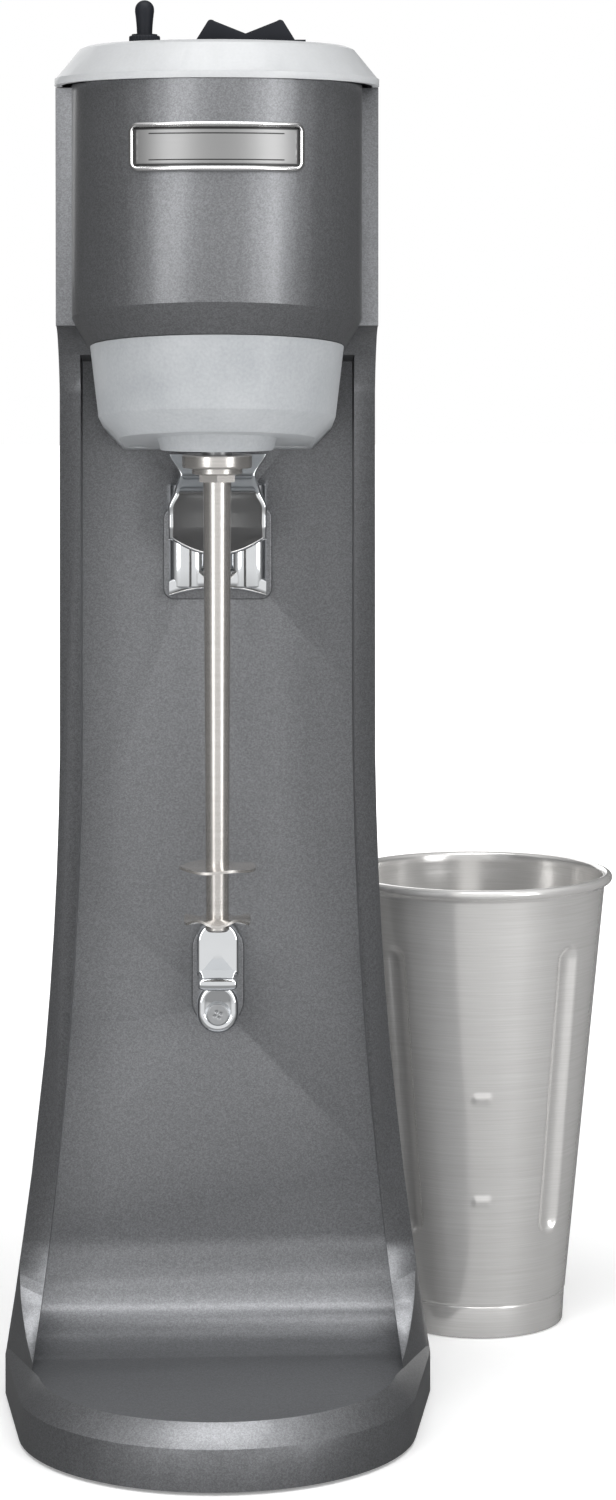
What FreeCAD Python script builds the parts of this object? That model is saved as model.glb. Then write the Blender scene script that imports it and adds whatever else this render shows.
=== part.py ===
"""Single-spindle bar milkshake mixer with its stainless cup, as separate pieces, in millimetres.

Origin: on the table, under the spindle's axis. X to the right, Y to the back, Z up.
"""
import FreeCAD, Part
import Sketcher
import math
import os

# Every driving size. Names ending in _x, _y and _z are places on the axes of the part's frame.
SIZES = dict(
    # casting: skirt, lip, column, flanges and motor head
    foot_z=1.0, skirt_z=16.0, lip_z=23.5, lip_inset=7.3, base_bow=73.0, base_bow_y=7.0,
    base_half=80.6, base_wide_y=55.0, back_y=127.0, rear_round=12.0,
    column_half=59.0, flare_z=268.0, flare_arc=1480.0, head_top_z=492.8,
    flange_y=38.0, flange_arc=40.0, shoulder_arc=26.0, under_z=406.0, wall=3.0,
    recess_half=51.0, recess_low_half=68.6, recess_y=61.0, recess_arc=38.0, floor_z=22.0,
    recess_flare_arc=1756.0, ceiling_z=398.6, slope=6.2,
    drum_r=52.6, drum_low_z=408.6, drum_neck_r=46.2, motor_floor_z=417.0,
    # top cap, plate and switches
    cap_gap=0.2, cap_half=59.0, cap_bow_y=6.2, cap_lip=2.5, cap_rise=10.5, cap_inset=9.0,
    cap_top_z=507.0, cap_wall=2.4, cap_back_y=127.6,
    plate_half=31.0, plate_tall=17.4, plate_z=469.0, plate_thick=1.6, bead=0.8,
    toggle_x=-26.0, switch_y=-8.0, toggle_tip_z=523.2, toggle_tip_r=3.45, toggle_neck_r=2.9,
    toggle_nut_r=5.6, bushing_r=4.6, bushing_bore=3.7,
    rocker_x=10.3, rocker_half=18.4, rocker_peak=12.2, rocker_peak_z=515.8, rocker_dip_z=510.9,
    rocker_deep=13.0, rocker_pin_r=1.5,
    # grey motor shroud under the head
    shroud_r=46.0, shroud_band_r=43.0, shroud_low_r=35.5, shroud_band=25.7, shroud_low=33.4,
    shroud_wall=2.6, boss_r=23.0, boss_low_r=20.4, boss_z=361.0, shaft_hole_r=6.6,
    # motor
    motor_r=41.0, motor_seat=1.0, stator_bore=24.0, stack_z=426.0, stack=30.0, air_gap=0.6, shaft_r=4.0,
    thread_r=5.5, commutator_r=10.5, bearing_r=11.0, bearing_wide=7.0, coil=9.0, motor_top_z=481.5,
    # spindle and agitators
    collar_r=12.7, collar_z=354.4, collar_top_z=359.4, hex_r=7.4, hex_z=349.4, step_r=9.2,
    spindle_r=5.1, spindle_low_r=4.15, spindle_z=187.5, disc_r=14.0, disc_z=209.0,
    wave_r=12.1, wave_z=190.0, wave=1.0, sheet=1.0,
    # chrome cup guide and its switch lever
    guide_half=18.55, guide_top_z=357.5, guide_low_z=302.8, guide_plate=2.5, gasket=1.2,
    tongue_r=46.2, tongue_thick=2.4, tongue_z=319.0, rim_room_z=346.0,
    lever_pivot_z=341.0, lever_pin_r=1.2, lever_long=20.0,
    # chrome cup rest
    rest_half=8.0, rest_top_z=177.5, rest_low_z=139.1, rest_face_y=52.0, ledge_y=33.0,
    ledge_z=161.0, ledge_thick=4.8, rest_screw_z=146.4, rest_screw_r=4.1,
    # cup standing beside the mixer
    cup_beside=25.1, cup_behind=36.0, cup_tall=182.6, cup_foot_r=34.5, cup_seam_r=35.5,
    cup_seam_z=13.0, cup_mouth_r=51.6, cup_sheet=1.0, cup_bead=2.0, flute_r=6.8, flute_deep=2.2,
    flute_low_z=46.0, flute_top_z=152.0, flute_turn=50.0,
    # base plate, rubber ring, rear cover, gland, board
    plate_sheet=1.5, pad_inset=6.0, pad_wide=10.0, pad_tall=2.2,
    cover_half=44.0, cover_low_z=54.0, cover_top_z=476.0, cover_sheet=2.0, cover_lap=6.0,
    gland_x=30.0, gland_z=34.0, gland_r=6.0,
)
X, Y, Z = FreeCAD.Vector(1, 0, 0), FreeCAD.Vector(0, 1, 0), FreeCAD.Vector(0, 0, 1)
PARTS = []

doc = FreeCAD.newDocument("MilkshakeMixer")
sheet = doc.addObject("Spreadsheet::Sheet", "Sizes")


class Size:
    """A number of the sheet, or a sum, product or share of such numbers, with its expression."""

    def __init__(self, text, value):
        self.text = text
        self.value = value

    def __add__(self, other):
        other = as_size(other)
        return Size(f"({self.text} + {other.text})", self.value + other.value)

    def __sub__(self, other):
        other = as_size(other)
        return Size(f"({self.text} - {other.text})", self.value - other.value)

    def __mul__(self, other):
        other = as_size(other)
        return Size(f"({self.text} * {other.text})", self.value * other.value)

    def __truediv__(self, other):
        other = as_size(other)
        return Size(f"({self.text} / {other.text})", self.value / other.value)

    def __radd__(self, other):
        return as_size(other) + self

    def __rsub__(self, other):
        return as_size(other) - self

    def __rmul__(self, other):
        return as_size(other) * self

    def __neg__(self):
        return Size(f"(-1 * {self.text})", -self.value)


def as_size(number):
    return number if isinstance(number, Size) else Size(repr(float(number)), float(number))


class Sheet:
    """The sheet's numbers by name."""


def fill_sheet():
    numbers = Sheet()
    for row, (name, value) in enumerate(SIZES.items(), 1):
        sheet.set(f"A{row}", name)
        sheet.set(f"B{row}", str(value))
        sheet.setAlias(f"B{row}", name)
        setattr(numbers, name, Size(f"Sizes.{name}", value))
    doc.recompute()
    return numbers


d = fill_sheet()


# ---------------------------------------------------------------- sketches and solids
def bind(thing, **sizes):
    for prop, size in sizes.items():
        thing.setExpression(prop, as_size(size).text)


def place(thing, x=0, y=0, z=0, axis=None, turn=0):
    """Put a piece at a bound point, turned about a unit axis by a plain angle in degrees."""
    spin = FreeCAD.Rotation(axis, turn) if axis else FreeCAD.Rotation()
    spot = FreeCAD.Vector(*[as_size(v).value for v in (x, y, z)])
    thing.Placement = FreeCAD.Placement(spot, spin)
    for letter, size in zip("xyz", (x, y, z)):
        thing.setExpression(f"Placement.Base.{letter}", as_size(size).text)
    return thing


def arc_middle(a, b, radius):
    """The middle of the short arc from a to b: anticlockwise for a positive radius."""
    chord = b - a
    rise = math.sqrt(max(radius * radius - chord.Length**2 / 4, 0))
    left = FreeCAD.Vector(-chord.y, chord.x, 0).normalize()
    side = math.copysign(1, radius)
    return (a + b) * 0.5 + left * side * (rise - abs(radius))


def outline(sketch, points):
    """Close (x, y) or (x, y, radius) points with lines and arcs, each vertex and radius bound."""
    spots = [FreeCAD.Vector(as_size(p[0]).value, as_size(p[1]).value, 0) for p in points]
    count = len(points)
    ends = []
    for i, point in enumerate(points):
        a, b = spots[i], spots[(i + 1) % count]
        if len(point) == 3:
            radius = as_size(point[2])
            number = sketch.addGeometry(Part.Arc(a, arc_middle(a, b, radius.value), b), False)
            ends.append((number, 1, 2) if radius.value > 0 else (number, 2, 1))
            held = sketch.addConstraint(Sketcher.Constraint("Radius", number, abs(radius.value)))
            bound = radius if radius.value > 0 else -radius
            sketch.setExpression(f"Constraints[{held}]", bound.text)
        else:
            number = sketch.addGeometry(Part.LineSegment(a, b), False)
            ends.append((number, 1, 2))
    for i, (number, start, end) in enumerate(ends):
        after = ends[(i + 1) % count]
        sketch.addConstraint(Sketcher.Constraint("Coincident", number, end, after[0], after[1]))
        pin_point(sketch, number, start, points[i])


def pin_point(sketch, number, end, point):
    """Hold one end of a line or arc at its bound distances from the sketch's origin."""
    for kind, line, size in (("DistanceX", -2, point[0]), ("DistanceY", -1, point[1])):
        size = as_size(size)
        if size.text == "0.0":
            sketch.addConstraint(Sketcher.Constraint("PointOnObject", number, end, line))
            continue
        rule = Sketcher.Constraint(kind, -1, 1, number, end, size.value)
        held = sketch.addConstraint(rule)
        sketch.setExpression(f"Constraints[{held}]", size.text)


def ring(sketch, x, y, radius):
    """A circle whose centre and radius are bound."""
    spot = FreeCAD.Vector(as_size(x).value, as_size(y).value, 0)
    number = sketch.addGeometry(Part.Circle(spot, FreeCAD.Vector(0, 0, 1), as_size(radius).value))
    held = sketch.addConstraint(Sketcher.Constraint("Radius", number, as_size(radius).value))
    sketch.setExpression(f"Constraints[{held}]", as_size(radius).text)
    pin_point(sketch, number, 3, (x, y))


def draw(sketch, loops):
    for loop in loops:
        if isinstance(loop, tuple):
            ring(sketch, *loop)
        else:
            outline(sketch, loop)


def body_sketch(name, plane, offset, loops):
    """A PartDesign body with a sketch on one of its own origin planes."""
    body = doc.addObject("PartDesign::Body", name)
    sketch = body.newObject("Sketcher::SketchObject", f"{name}_sketch")
    face = next(o for o in body.Origin.OriginFeatures if o.Role == f"{plane}_Plane")
    sketch.AttachmentSupport = [(face, "")]
    sketch.MapMode = "FlatFace"
    sketch.setExpression("AttachmentOffset.Base.z", as_size(offset).text)
    draw(sketch, loops)
    return body, sketch


def slab(name, plane, start, end, *loops):
    """A body padded from start to end along the axis square to the plane."""
    start, end = as_size(start), as_size(end)
    offset = -end if plane == "XZ" else start
    body, sketch = body_sketch(name, plane, offset, loops)
    pad = body.newObject("PartDesign::Pad", f"{name}_pad")
    pad.Profile = sketch
    bind(pad, Length=end - start)
    body.Tip = pad
    return body


def turned(name, points, x=0, y=0, z=0):
    """A body turned about its own Z axis from (radius, height) points."""
    body, sketch = body_sketch(name, "XZ", 0, [points])
    spin = body.newObject("PartDesign::Revolution", f"{name}_turn")
    spin.Profile = sketch
    spin.ReferenceAxis = (sketch, ["V_Axis"])
    spin.Angle = 360
    body.Tip = spin
    return place(body, x, y, z)


def loft(name, tilt, *levels):
    """A ruled solid through (height, loop) sections, each tilted about X by a plain angle."""
    sections = []
    for i, (height, loop) in enumerate(levels):
        sketch = doc.addObject("Sketcher::SketchObject", f"{name}_level{i}")
        place(sketch, 0, 0, height, X, -tilt)
        draw(sketch, [loop])
        sections.append(sketch)
    solid = doc.addObject("Part::Loft", name)
    solid.Sections = sections
    solid.Solid = True
    solid.Ruled = True
    return solid


AXES = {"X": (Y, 90), "Y": (X, -90), "Z": (None, 0)}


def rod(name, radius, length, x=0, y=0, z=0, along="Z"):
    """A cylinder from a point along an axis of the frame."""
    solid = doc.addObject("Part::Cylinder", name)
    bind(solid, Radius=radius, Height=length)
    return place(solid, x, y, z, *AXES[along])


def cone(name, radius, end_radius, length, x=0, y=0, z=0, along="Z"):
    solid = doc.addObject("Part::Cone", name)
    bind(solid, Radius1=radius, Radius2=end_radius, Height=length)
    return place(solid, x, y, z, *AXES[along])


def box(name, x0, x1, y0, y1, z0, z1):
    """A box between two bound corners."""
    solid = doc.addObject("Part::Box", name)
    x0, x1, y0, y1, z0, z1 = [as_size(v) for v in (x0, x1, y0, y1, z0, z1)]
    bind(solid, Length=x1 - x0, Width=y1 - y0, Height=z1 - z0)
    return place(solid, x0, y0, z0)


def cut(name, base, *tools):
    solid = doc.addObject("Part::Cut", name)
    solid.Base = base
    solid.Tool = tools[0] if len(tools) == 1 else fuse(f"{name}_tools", *tools)
    return solid


def fuse(name, *pieces):
    solid = doc.addObject("Part::MultiFuse", name)
    solid.Shapes = list(pieces)
    solid.Refine = True
    return solid


def common(name, *pieces):
    solid = doc.addObject("Part::MultiCommon", name)
    solid.Shapes = list(pieces)
    return solid


def shaped(name, shape):
    """A piece made with Part's own functions."""
    piece = doc.addObject("Part::Feature", name)
    piece.Shape = shape
    return piece


def copies(name, source, spots):
    """The same small piece at several places, one solid at each: (x, y, z) or (..., axis, turn)."""
    doc.recompute()
    solids = []
    for spot in spots:
        where = FreeCAD.Vector(*[as_size(v).value for v in spot[:3]])
        spin = FreeCAD.Rotation(spot[3], spot[4]) if len(spot) > 3 else FreeCAD.Rotation()
        solid = source.Shape.copy()
        solid.Placement = FreeCAD.Placement(where, spin).multiply(solid.Placement)
        solids.append(solid)
    return shaped(name, Part.makeCompound(solids))


def rounded(name, base, radius, wanted):
    """Fillet the edges whose middle the test accepts."""
    doc.recompute()
    solid = doc.addObject("Part::Fillet", name)
    solid.Base = base
    size = as_size(radius).value
    picked = []
    for number, edge in enumerate(base.Shape.Edges, 1):
        if edge.Degenerated:
            continue
        middle = edge.valueAt((edge.FirstParameter + edge.LastParameter) / 2)
        if wanted(edge, middle):
            picked.append((number, size, size))
    solid.Edges = picked
    return solid


def node(name, piece):
    """Name a finished piece and list it for export."""
    piece.Label = name
    PARTS.append((name, piece))
    return piece


# ---------------------------------------------------------------- plan outlines
def dee(radius, bow_y, half, wide_y, back):
    """A bow at the front on three arcs' ends, then sides that spread to half, and a straight back."""
    turn_x = radius * 0.99
    turn_y = bow_y - radius * 0.14107
    return [(-turn_x, turn_y, radius), (0, bow_y - radius, radius), (turn_x, turn_y),
            (half, wide_y), (half, back), (-half, back), (-half, wide_y)]


def half_round(radius, bow_y, back):
    """A half circle at the front with straight sides to the back."""
    return [(-radius, bow_y, radius), (0, bow_y - radius, radius), (radius, bow_y),
            (radius, back), (-radius, back)]


def half_round_rear(radius, bow_y, back, corner):
    """A half circle at the front with straight sides and rounded rear corners."""
    inner = radius - corner
    return [(-radius, bow_y, radius), (0, bow_y - radius, radius), (radius, bow_y),
            (radius, back - corner, corner), (inner, back), (-inner, back, corner),
            (-radius, back - corner)]


def bell_front(half, low_half, low_z, flare_z, arc, top_z, bottom_z):
    """The front view of the column: straight sides above, flared below, upright at the foot."""
    return [(-low_half, bottom_z), (low_half, bottom_z), (low_half, low_z, arc), (half, flare_z),
            (half, top_z), (-half, top_z), (-half, flare_z, arc), (-low_half, low_z)]


# ---------------------------------------------------------------- casting
def ceiling(y, lift=0.0):
    """Height of the sloping underside of the head at a plain distance behind the spindle."""
    fall = math.tan(math.radians(SIZES["slope"]))
    return d.ceiling_z + lift - as_size(y) * fall


def make_housing():
    column = common(
        "column",
        slab("column_front", "XZ", -70, d.back_y,
             bell_front(d.column_half, d.base_half, d.skirt_z, d.flare_z, -d.flare_arc,
                        d.head_top_z, d.foot_z)),
        slab("column_side", "YZ", d.base_half * -1.1, d.base_half * 1.1, side_outline()),
        slab("column_plan", "XY", d.foot_z, d.head_top_z,
             dee(d.base_bow - d.lip_inset, d.base_bow_y, d.base_half, d.base_wide_y + 7,
                 d.back_y)))
    column = rounded("column_rear", column, d.rear_round, rear_corner)
    skirt = slab("skirt", "XY", d.foot_z, d.skirt_z, base_plan(0))
    lip = loft("lip", 0, (d.skirt_z, base_plan(0)), (d.lip_z, base_plan(d.lip_inset)))
    drum = slab("drum", "XY", d.under_z - 40, d.head_top_z, half_round(d.drum_r, 0, d.recess_y))
    rise, spread = d.drum_low_z - d.ceiling_z, d.drum_r - d.drum_neck_r
    funnel = loft("drum_funnel", SIZES["slope"],
                  (d.ceiling_z, half_round(d.drum_neck_r, 0, d.recess_y)),
                  (d.ceiling_z + rise * 1.4,
                   half_round(d.drum_neck_r + spread * 1.4, 0, d.recess_y + 2)))
    neck = common("drum_neck", drum, funnel)
    upper = cut("drum_upper", drum, tilted_block("drum_trim", d.ceiling_z + rise * 1.38))
    outer = fuse("casting_outer", column, skirt, lip, upper, neck)
    casting = cut("casting_shell", outer, *casting_cuts())
    casting = fuse("casting_posts", casting, *casting_posts())
    return node("housing", cut("housing_shape", casting, *casting_holes()))


def tilted_block(name, height):
    """A block that fills everything in front of the column below the sloping plane."""
    solid = doc.addObject("Part::Box", name)
    solid.Length, solid.Width, solid.Height = 200, 200, 60
    spin = FreeCAD.Rotation(X, -SIZES["slope"])
    corner = spin.multVec(FreeCAD.Vector(-100, -100, -60))
    solid.Placement = FreeCAD.Placement(corner, spin)
    bind(solid, **{"Placement.Base.z": height + corner.z})
    return solid


def side_outline():
    """The column from the side: flange front, sweep to the lip, shoulder under the head."""
    front = d.flange_y - d.flange_arc
    head = d.flange_y - d.shoulder_arc
    return [(front, d.foot_z), (d.back_y, d.foot_z), (d.back_y, d.head_top_z),
            (head, d.head_top_z), (head, d.under_z, -d.shoulder_arc),
            (d.flange_y, d.under_z - d.shoulder_arc),
            (d.flange_y, d.lip_z + d.flange_arc, -d.flange_arc), (front, d.lip_z)]


def base_plan(inset):
    """The foot's plan, inset all round; its back lies inside the column."""
    return dee(d.base_bow - inset, d.base_bow_y, d.base_half - inset, d.base_wide_y,
               d.back_y - d.rear_round - 4)


def rear_corner(edge, middle):
    """The upright edges between the back and the sides."""
    behind = abs(middle.y - SIZES["back_y"]) < 0.01
    return behind and abs(middle.x) > SIZES["column_half"] - 1 and edge.Length > 5


def casting_cuts():
    """The open recess, the hollow column, the motor room and the hollow foot."""
    recess = common(
        "recess",
        slab("recess_front", "XZ", before_foot(), d.recess_y,
             bell_front(d.recess_half, d.recess_low_half, 20, d.flare_z, -d.recess_flare_arc,
                        430, 10)),
        slab("recess_side", "YZ", d.base_half * -1.1, d.base_half * 1.1, recess_side()),
        slab("recess_plan", "XY", 10, 430,
             dee(d.base_bow - d.lip_inset, d.base_bow_y, d.base_half, d.base_wide_y + 7,
                 d.back_y)))
    inner = d.recess_y + d.wall
    room = common(
        "column_room",
        slab("room_front", "XZ", inner, d.back_y - d.wall,
             bell_front(d.column_half - d.wall, d.base_half - d.wall, d.skirt_z, d.flare_z,
                        -d.flare_arc, 600, -5)))
    room = rounded("column_room_rear", room, d.rear_round - d.wall, room_corner)
    foot_room = common(
        "foot_room",
        slab("foot_plan", "XY", -5, d.floor_z - d.wall, base_plan(d.wall)),
        slab("foot_side", "YZ", d.base_half * -1.1, d.base_half * 1.1,
             [(before_foot(), -5), (inner + 1, -5), (inner + 1, d.floor_z - d.wall),
              (-20, d.floor_z - d.wall), (-20, d.skirt_z - 1), (before_foot(), d.skirt_z - 1)]))
    motor_room = slab("motor_room", "XY", d.motor_floor_z, 600,
                      half_round(d.drum_r - d.wall, 0, inner + 1))
    flange_room = []
    for side in (-1, 1):
        flange_room.append(box(
            f"head_side_room{side + 1}", *sorted_span(side, d.drum_r - d.wall - 1,
                                                      d.column_half - d.wall),
            d.flange_y - d.shoulder_arc + d.wall, inner + 1, d.under_z + 8, 600))
    throat = rod("motor_throat", motor_hole(), 60, 0, 0, d.ceiling_z - 20)
    window = box("rear_window", -(d.cover_half - d.cover_lap), d.cover_half - d.cover_lap,
                 d.back_y - d.wall - 1, d.back_y + 1,
                 d.cover_low_z + d.cover_lap, d.cover_top_z - d.cover_lap)
    return [recess, room, foot_room, motor_room, throat, window] + flange_room


def before_foot():
    """A plain place in front of the whole foot."""
    return d.base_bow_y - d.base_bow - 20


def motor_hole():
    """The motor hangs through a hole a little smaller than its own frame."""
    return d.motor_r - d.motor_seat


def sorted_span(side, near, far):
    """The bound span between two distances on the left or right of the middle."""
    near, far = as_size(near), as_size(far)
    return (near, far) if side > 0 else (-far, -near)


def room_corner(edge, middle):
    behind = abs(middle.y - (SIZES["back_y"] - SIZES["wall"])) < 0.01
    return behind and abs(middle.x) > SIZES["column_half"] - SIZES["wall"] - 1 and edge.Length > 5


def recess_side():
    """Floor, sweep and back of the recess, closed by the sloping ceiling above."""
    turn = d.recess_y - d.recess_arc
    front = before_foot()
    return [(front, d.floor_z), (turn, d.floor_z, d.recess_arc),
            (d.recess_y, d.floor_z + d.recess_arc), (d.recess_y, ceiling(d.recess_y)),
            (front, ceiling(front))]


def plate_screw_spots():
    rear = d.back_y - d.wall - 5
    return [(-39, -25), (39, -25), (-48, rear), (48, rear)]


def casting_posts():
    """Posts inside the foot that take the base plate's screws."""
    low = d.pad_tall + d.plate_sheet + 0.2
    posts = []
    for i, (x, y) in enumerate(plate_screw_spots()):
        tall = d.floor_z - d.wall + 1 if i < 2 else d.floor_z + 8
        posts.append(rod(f"foot_post{i}", 6.2 if i > 1 else 5, tall - low, x, y, low))
    return posts


def casting_holes():
    """Screw holes, the gland's hole and the openings behind the cup guide and the cup rest."""
    holes = [rod("gland_hole", d.gland_r, d.wall + 2, d.gland_x, d.back_y - d.wall - 1,
                 d.gland_z, "Y"),
             rod("rest_hole", 2.1, d.wall + 2, 0, d.recess_y - 1, d.rest_screw_z, "Y"),
             box("lever_window", -6, 6, d.recess_y - 1, d.recess_y + d.wall + 1,
                 d.lever_pivot_z - d.lever_long - 3, d.lever_pivot_z - 6)]
    for i, (x, z) in enumerate(guide_screw_spots()):
        holes.append(rod(f"guide_hole{i}", 1.6, d.wall + 2, x, d.recess_y - 1, z, "Y"))
    for i, (x, z) in enumerate(cover_screw_spots()):
        holes.append(rod(f"cover_hole{i}", 1.6, d.wall + 2, x, d.back_y - d.wall - 1, z, "Y"))
    for i, (x, y) in enumerate(plate_screw_spots()):
        holes.append(rod(f"plate_hole{i}", 1.6, 14, x, y, 0))
    for i, (x, y) in enumerate(mount_spots()):
        holes.append(rod(f"mount_hole{i}", 1.6, 9, x, y, d.motor_floor_z - 8))
    for i, (x, y) in enumerate(shroud_screw_spots()):
        holes.append(rod(f"shroud_hole{i}", 1.6, 10, x, y, ceiling(y) - 1))
    return holes


def guide_screw_spots():
    return [(-12, d.guide_low_z + 7), (12, d.guide_low_z + 7)]


def cover_screw_spots():
    x = d.cover_half - d.cover_lap / 2
    low, top = d.cover_low_z + 14, d.cover_top_z - 14
    middle = (low + top) / 2
    return [(-x, low), (x, low), (-x, middle), (x, middle), (-x, top), (x, top)]


def mount_spots():
    reach = (motor_hole() + d.drum_r - d.wall) / 2
    return [(reach * 0.7071, reach * 0.7071), (reach * -0.7071, reach * 0.7071),
            (reach * 0.7071, reach * -0.7071), (reach * -0.7071, reach * -0.7071)]


def shroud_screw_spots():
    return [(-30, 44), (30, 44)]


# ---------------------------------------------------------------- screws
def pan_screw(name, head_r, head, shank_r, shank):
    """A pan-head screw with a cross slot; the head's seat is at zero and its shank goes up."""
    top = rod(f"{name}_head", head_r, head, 0, 0, -as_size(head))
    stem = rod(f"{name}_stem", shank_r, shank)
    screw = fuse(f"{name}_blank", top, stem)
    arms = ((head_r * 0.6, 0.4), (0.4, head_r * 0.6))
    slots = [box(f"{name}_slot{i}", -wide, wide, -deep, deep, -as_size(head) - 0.1,
                 -as_size(head) * 0.45) for i, (wide, deep) in enumerate(arms)]
    return cut(name, screw, *slots)


# ---------------------------------------------------------------- foot, cover, gland
def make_foot():
    low = d.pad_tall
    gap = d.wall + 0.4
    plan = dee(d.base_bow - gap, d.base_bow_y, d.base_half - gap, d.base_wide_y,
               d.back_y - d.wall - 0.4 - 10)
    plate = slab("base_plate_blank", "XY", low, low + d.plate_sheet, plan)
    holes = [rod(f"base_plate_hole{i}", 1.8, 6, x, y, 0)
             for i, (x, y) in enumerate(plate_screw_spots())]
    rear = box("base_plate_rear", -(d.base_half - d.rear_round - 3), d.base_half - d.rear_round - 3,
               d.back_y - 16, d.back_y - d.wall - 0.4, low, low + d.plate_sheet)
    node("base_plate", cut("base_plate_shape", fuse("base_plate_whole", plate, rear), *holes))
    near, far = d.wall + d.pad_inset, d.wall + d.pad_inset + d.pad_wide
    node("rubber_foot_ring", slab(
        "rubber_ring", "XY", 0, low,
        dee(d.base_bow - near, d.base_bow_y, d.base_half - near, d.base_wide_y,
            d.back_y - near - 12),
        dee(d.base_bow - far, d.base_bow_y, d.base_half - far, d.base_wide_y,
            d.back_y - far - 18)))
    screw = pan_screw("plate_screw", 2.9, 1.7, 1.55, 10)
    node("base_screws", copies("base_screw_set", screw,
                               [(x, y, low) for x, y in plate_screw_spots()]))


def make_cover():
    """The rear cover with its air slots, and its screws."""
    half, low, top, r = d.cover_half, d.cover_low_z, d.cover_top_z, 8
    plan = [(-half, low + r, r), (r - half, low), (half - r, low, r), (half, low + r),
            (half, top - r, r), (half - r, top), (r - half, top, r), (-half, top - r)]
    slots = []
    for row in range(9):
        for col in (-1, 1):
            z = top - 40 - 9 * row
            slots.append([(col * 15 - 11, z), (col * 15 + 11, z), (col * 15 + 11, z + 3.4),
                          (col * 15 - 11, z + 3.4)])
    plate = slab("rear_plate", "XZ", d.back_y, d.back_y + d.cover_sheet, plan, *slots)
    holes = [rod(f"rear_plate_hole{i}", 1.8, 6, x, d.back_y - 1, z, "Y")
             for i, (x, z) in enumerate(cover_screw_spots())]
    node("rear_cover", cut("rear_cover_shape", plate, *holes))
    screw = pan_screw("cover_screw", 2.7, 1.8, 1.55, 7)
    spots = [(x, d.back_y + d.cover_sheet, z, X, 90) for x, z in cover_screw_spots()]
    node("rear_cover_screws", copies("cover_screw_set", screw, spots))


def make_gland():
    """The bush that the mains lead would leave by, gripped by a nut inside."""
    y = d.back_y
    bush = fuse("gland_whole",
                rod("gland_neck", d.gland_r, d.wall + 9, d.gland_x, y - d.wall - 8, d.gland_z, "Y"),
                cone("gland_nose", d.gland_r + 3, d.gland_r + 0.6, 7, d.gland_x, y, d.gland_z, "Y"))
    bore = rod("gland_bore", d.gland_r - 3.3, 40, d.gland_x, y - 20, d.gland_z, "Y")
    node("cord_gland", cut("gland_shape", bush, bore))
    nut = cut("gland_nut_shape",
              rod("gland_nut_blank", d.gland_r + 3, 4, d.gland_x, y - d.wall - 4, d.gland_z, "Y"),
              rod("gland_nut_bore", d.gland_r, 6, d.gland_x, y - d.wall - 5, d.gland_z, "Y"))
    node("gland_nut", nut)


# ---------------------------------------------------------------- cap, plate, switches
def cap_plan(inset):
    return half_round_rear(d.cap_half - inset, d.cap_bow_y, d.cap_back_y - inset, 14)


def make_cap():
    low = d.head_top_z + d.cap_gap
    lip, rise = low + d.cap_lip, low + d.cap_lip + d.cap_rise
    blank = fuse("cap_blank", slab("cap_skirt", "XY", low, lip, cap_plan(0)),
                 loft("cap_slope", 0, (lip, cap_plan(0.4)), (rise, cap_plan(d.cap_inset))),
                 loft("cap_crown", 0, (rise, cap_plan(d.cap_inset)),
                      (d.cap_top_z, cap_plan(d.cap_inset + 2.2))))
    w = d.cap_wall
    hollow = loft("cap_hollow", 0, (low - 1, cap_plan(w + 0.2)), (lip, cap_plan(w + 0.4)),
                  (rise - 0.8, cap_plan(d.cap_inset + w + 0.6)),
                  (d.cap_top_z - w, cap_plan(d.cap_inset + w + 1.6)))
    x0, x1, y0, y1 = rocker_hole()
    openings = [box("cap_rocker_hole", x0, x1, y0, y1, d.cap_top_z - 20, d.cap_top_z + 5),
                rod("cap_toggle_hole", d.bushing_r + 0.2, 30, d.toggle_x, d.switch_y,
                    d.cap_top_z - 20)]
    posts = [cut(f"cap_post{i}", rod(f"cap_post_blank{i}", 4.4, d.cap_top_z - 0.5 - low, x, y, low),
                 rod(f"cap_post_bore{i}", 1.5, 8, x, y, low - 1))
             for i, (x, y) in enumerate(cap_post_spots())]
    shell = cut("cap_shell", blank, hollow)
    node("top_cap", cut("top_cap_shape", fuse("cap_posts", shell, *posts), *openings))


def cap_post_spots():
    return [(-44, 40), (44, 40), (-40, 104), (40, 104)]


def rocker_hole():
    half, deep = d.rocker_half + 0.6, d.rocker_deep / 2 + 1.6
    return d.rocker_x - half, d.rocker_x + half, d.switch_y - deep, d.switch_y + deep


def plate_edge(half, tall, r):
    z = d.plate_z
    return [(-half, z - tall + r, r), (r - half, z - tall), (half - r, z - tall, r),
            (half, z - tall + r), (half, z + tall - r, r), (half - r, z + tall),
            (r - half, z + tall, r), (-half, z + tall - r)]


def shell_wall(name, inner, outer, low, tall):
    """A tube round the spindle's axis."""
    return cut(name, rod(f"{name}_out", outer, tall, 0, 0, low),
               rod(f"{name}_in", inner, as_size(tall) + 2, 0, 0, low - 1))


def make_nameplate():
    """A plate that follows the drum, with a raised bead round its edge."""
    half, tall, seat = d.plate_half, d.plate_tall / 2, d.drum_r + 0.1
    low = d.plate_z - d.plate_tall
    sheet_wall = shell_wall("plate_wall", seat, seat + d.plate_thick, low, d.plate_tall * 2)
    bead_wall = shell_wall("bead_wall", seat, seat + d.plate_thick + d.bead, low,
                           d.plate_tall * 2)
    face = slab("plate_face", "XZ", -d.drum_r * 1.2, -d.drum_r * 0.5, plate_edge(half, tall, 3.4))
    rim = slab("plate_rim", "XZ", -d.drum_r * 1.2, -d.drum_r * 0.5, plate_edge(half, tall, 3.4),
               plate_edge(half - 2, tall - 2, 1.6))
    node("nameplate", fuse("nameplate_shape", common("plate_sheet_part", face, sheet_wall),
                           common("plate_bead_part", rim, bead_wall)))


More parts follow.
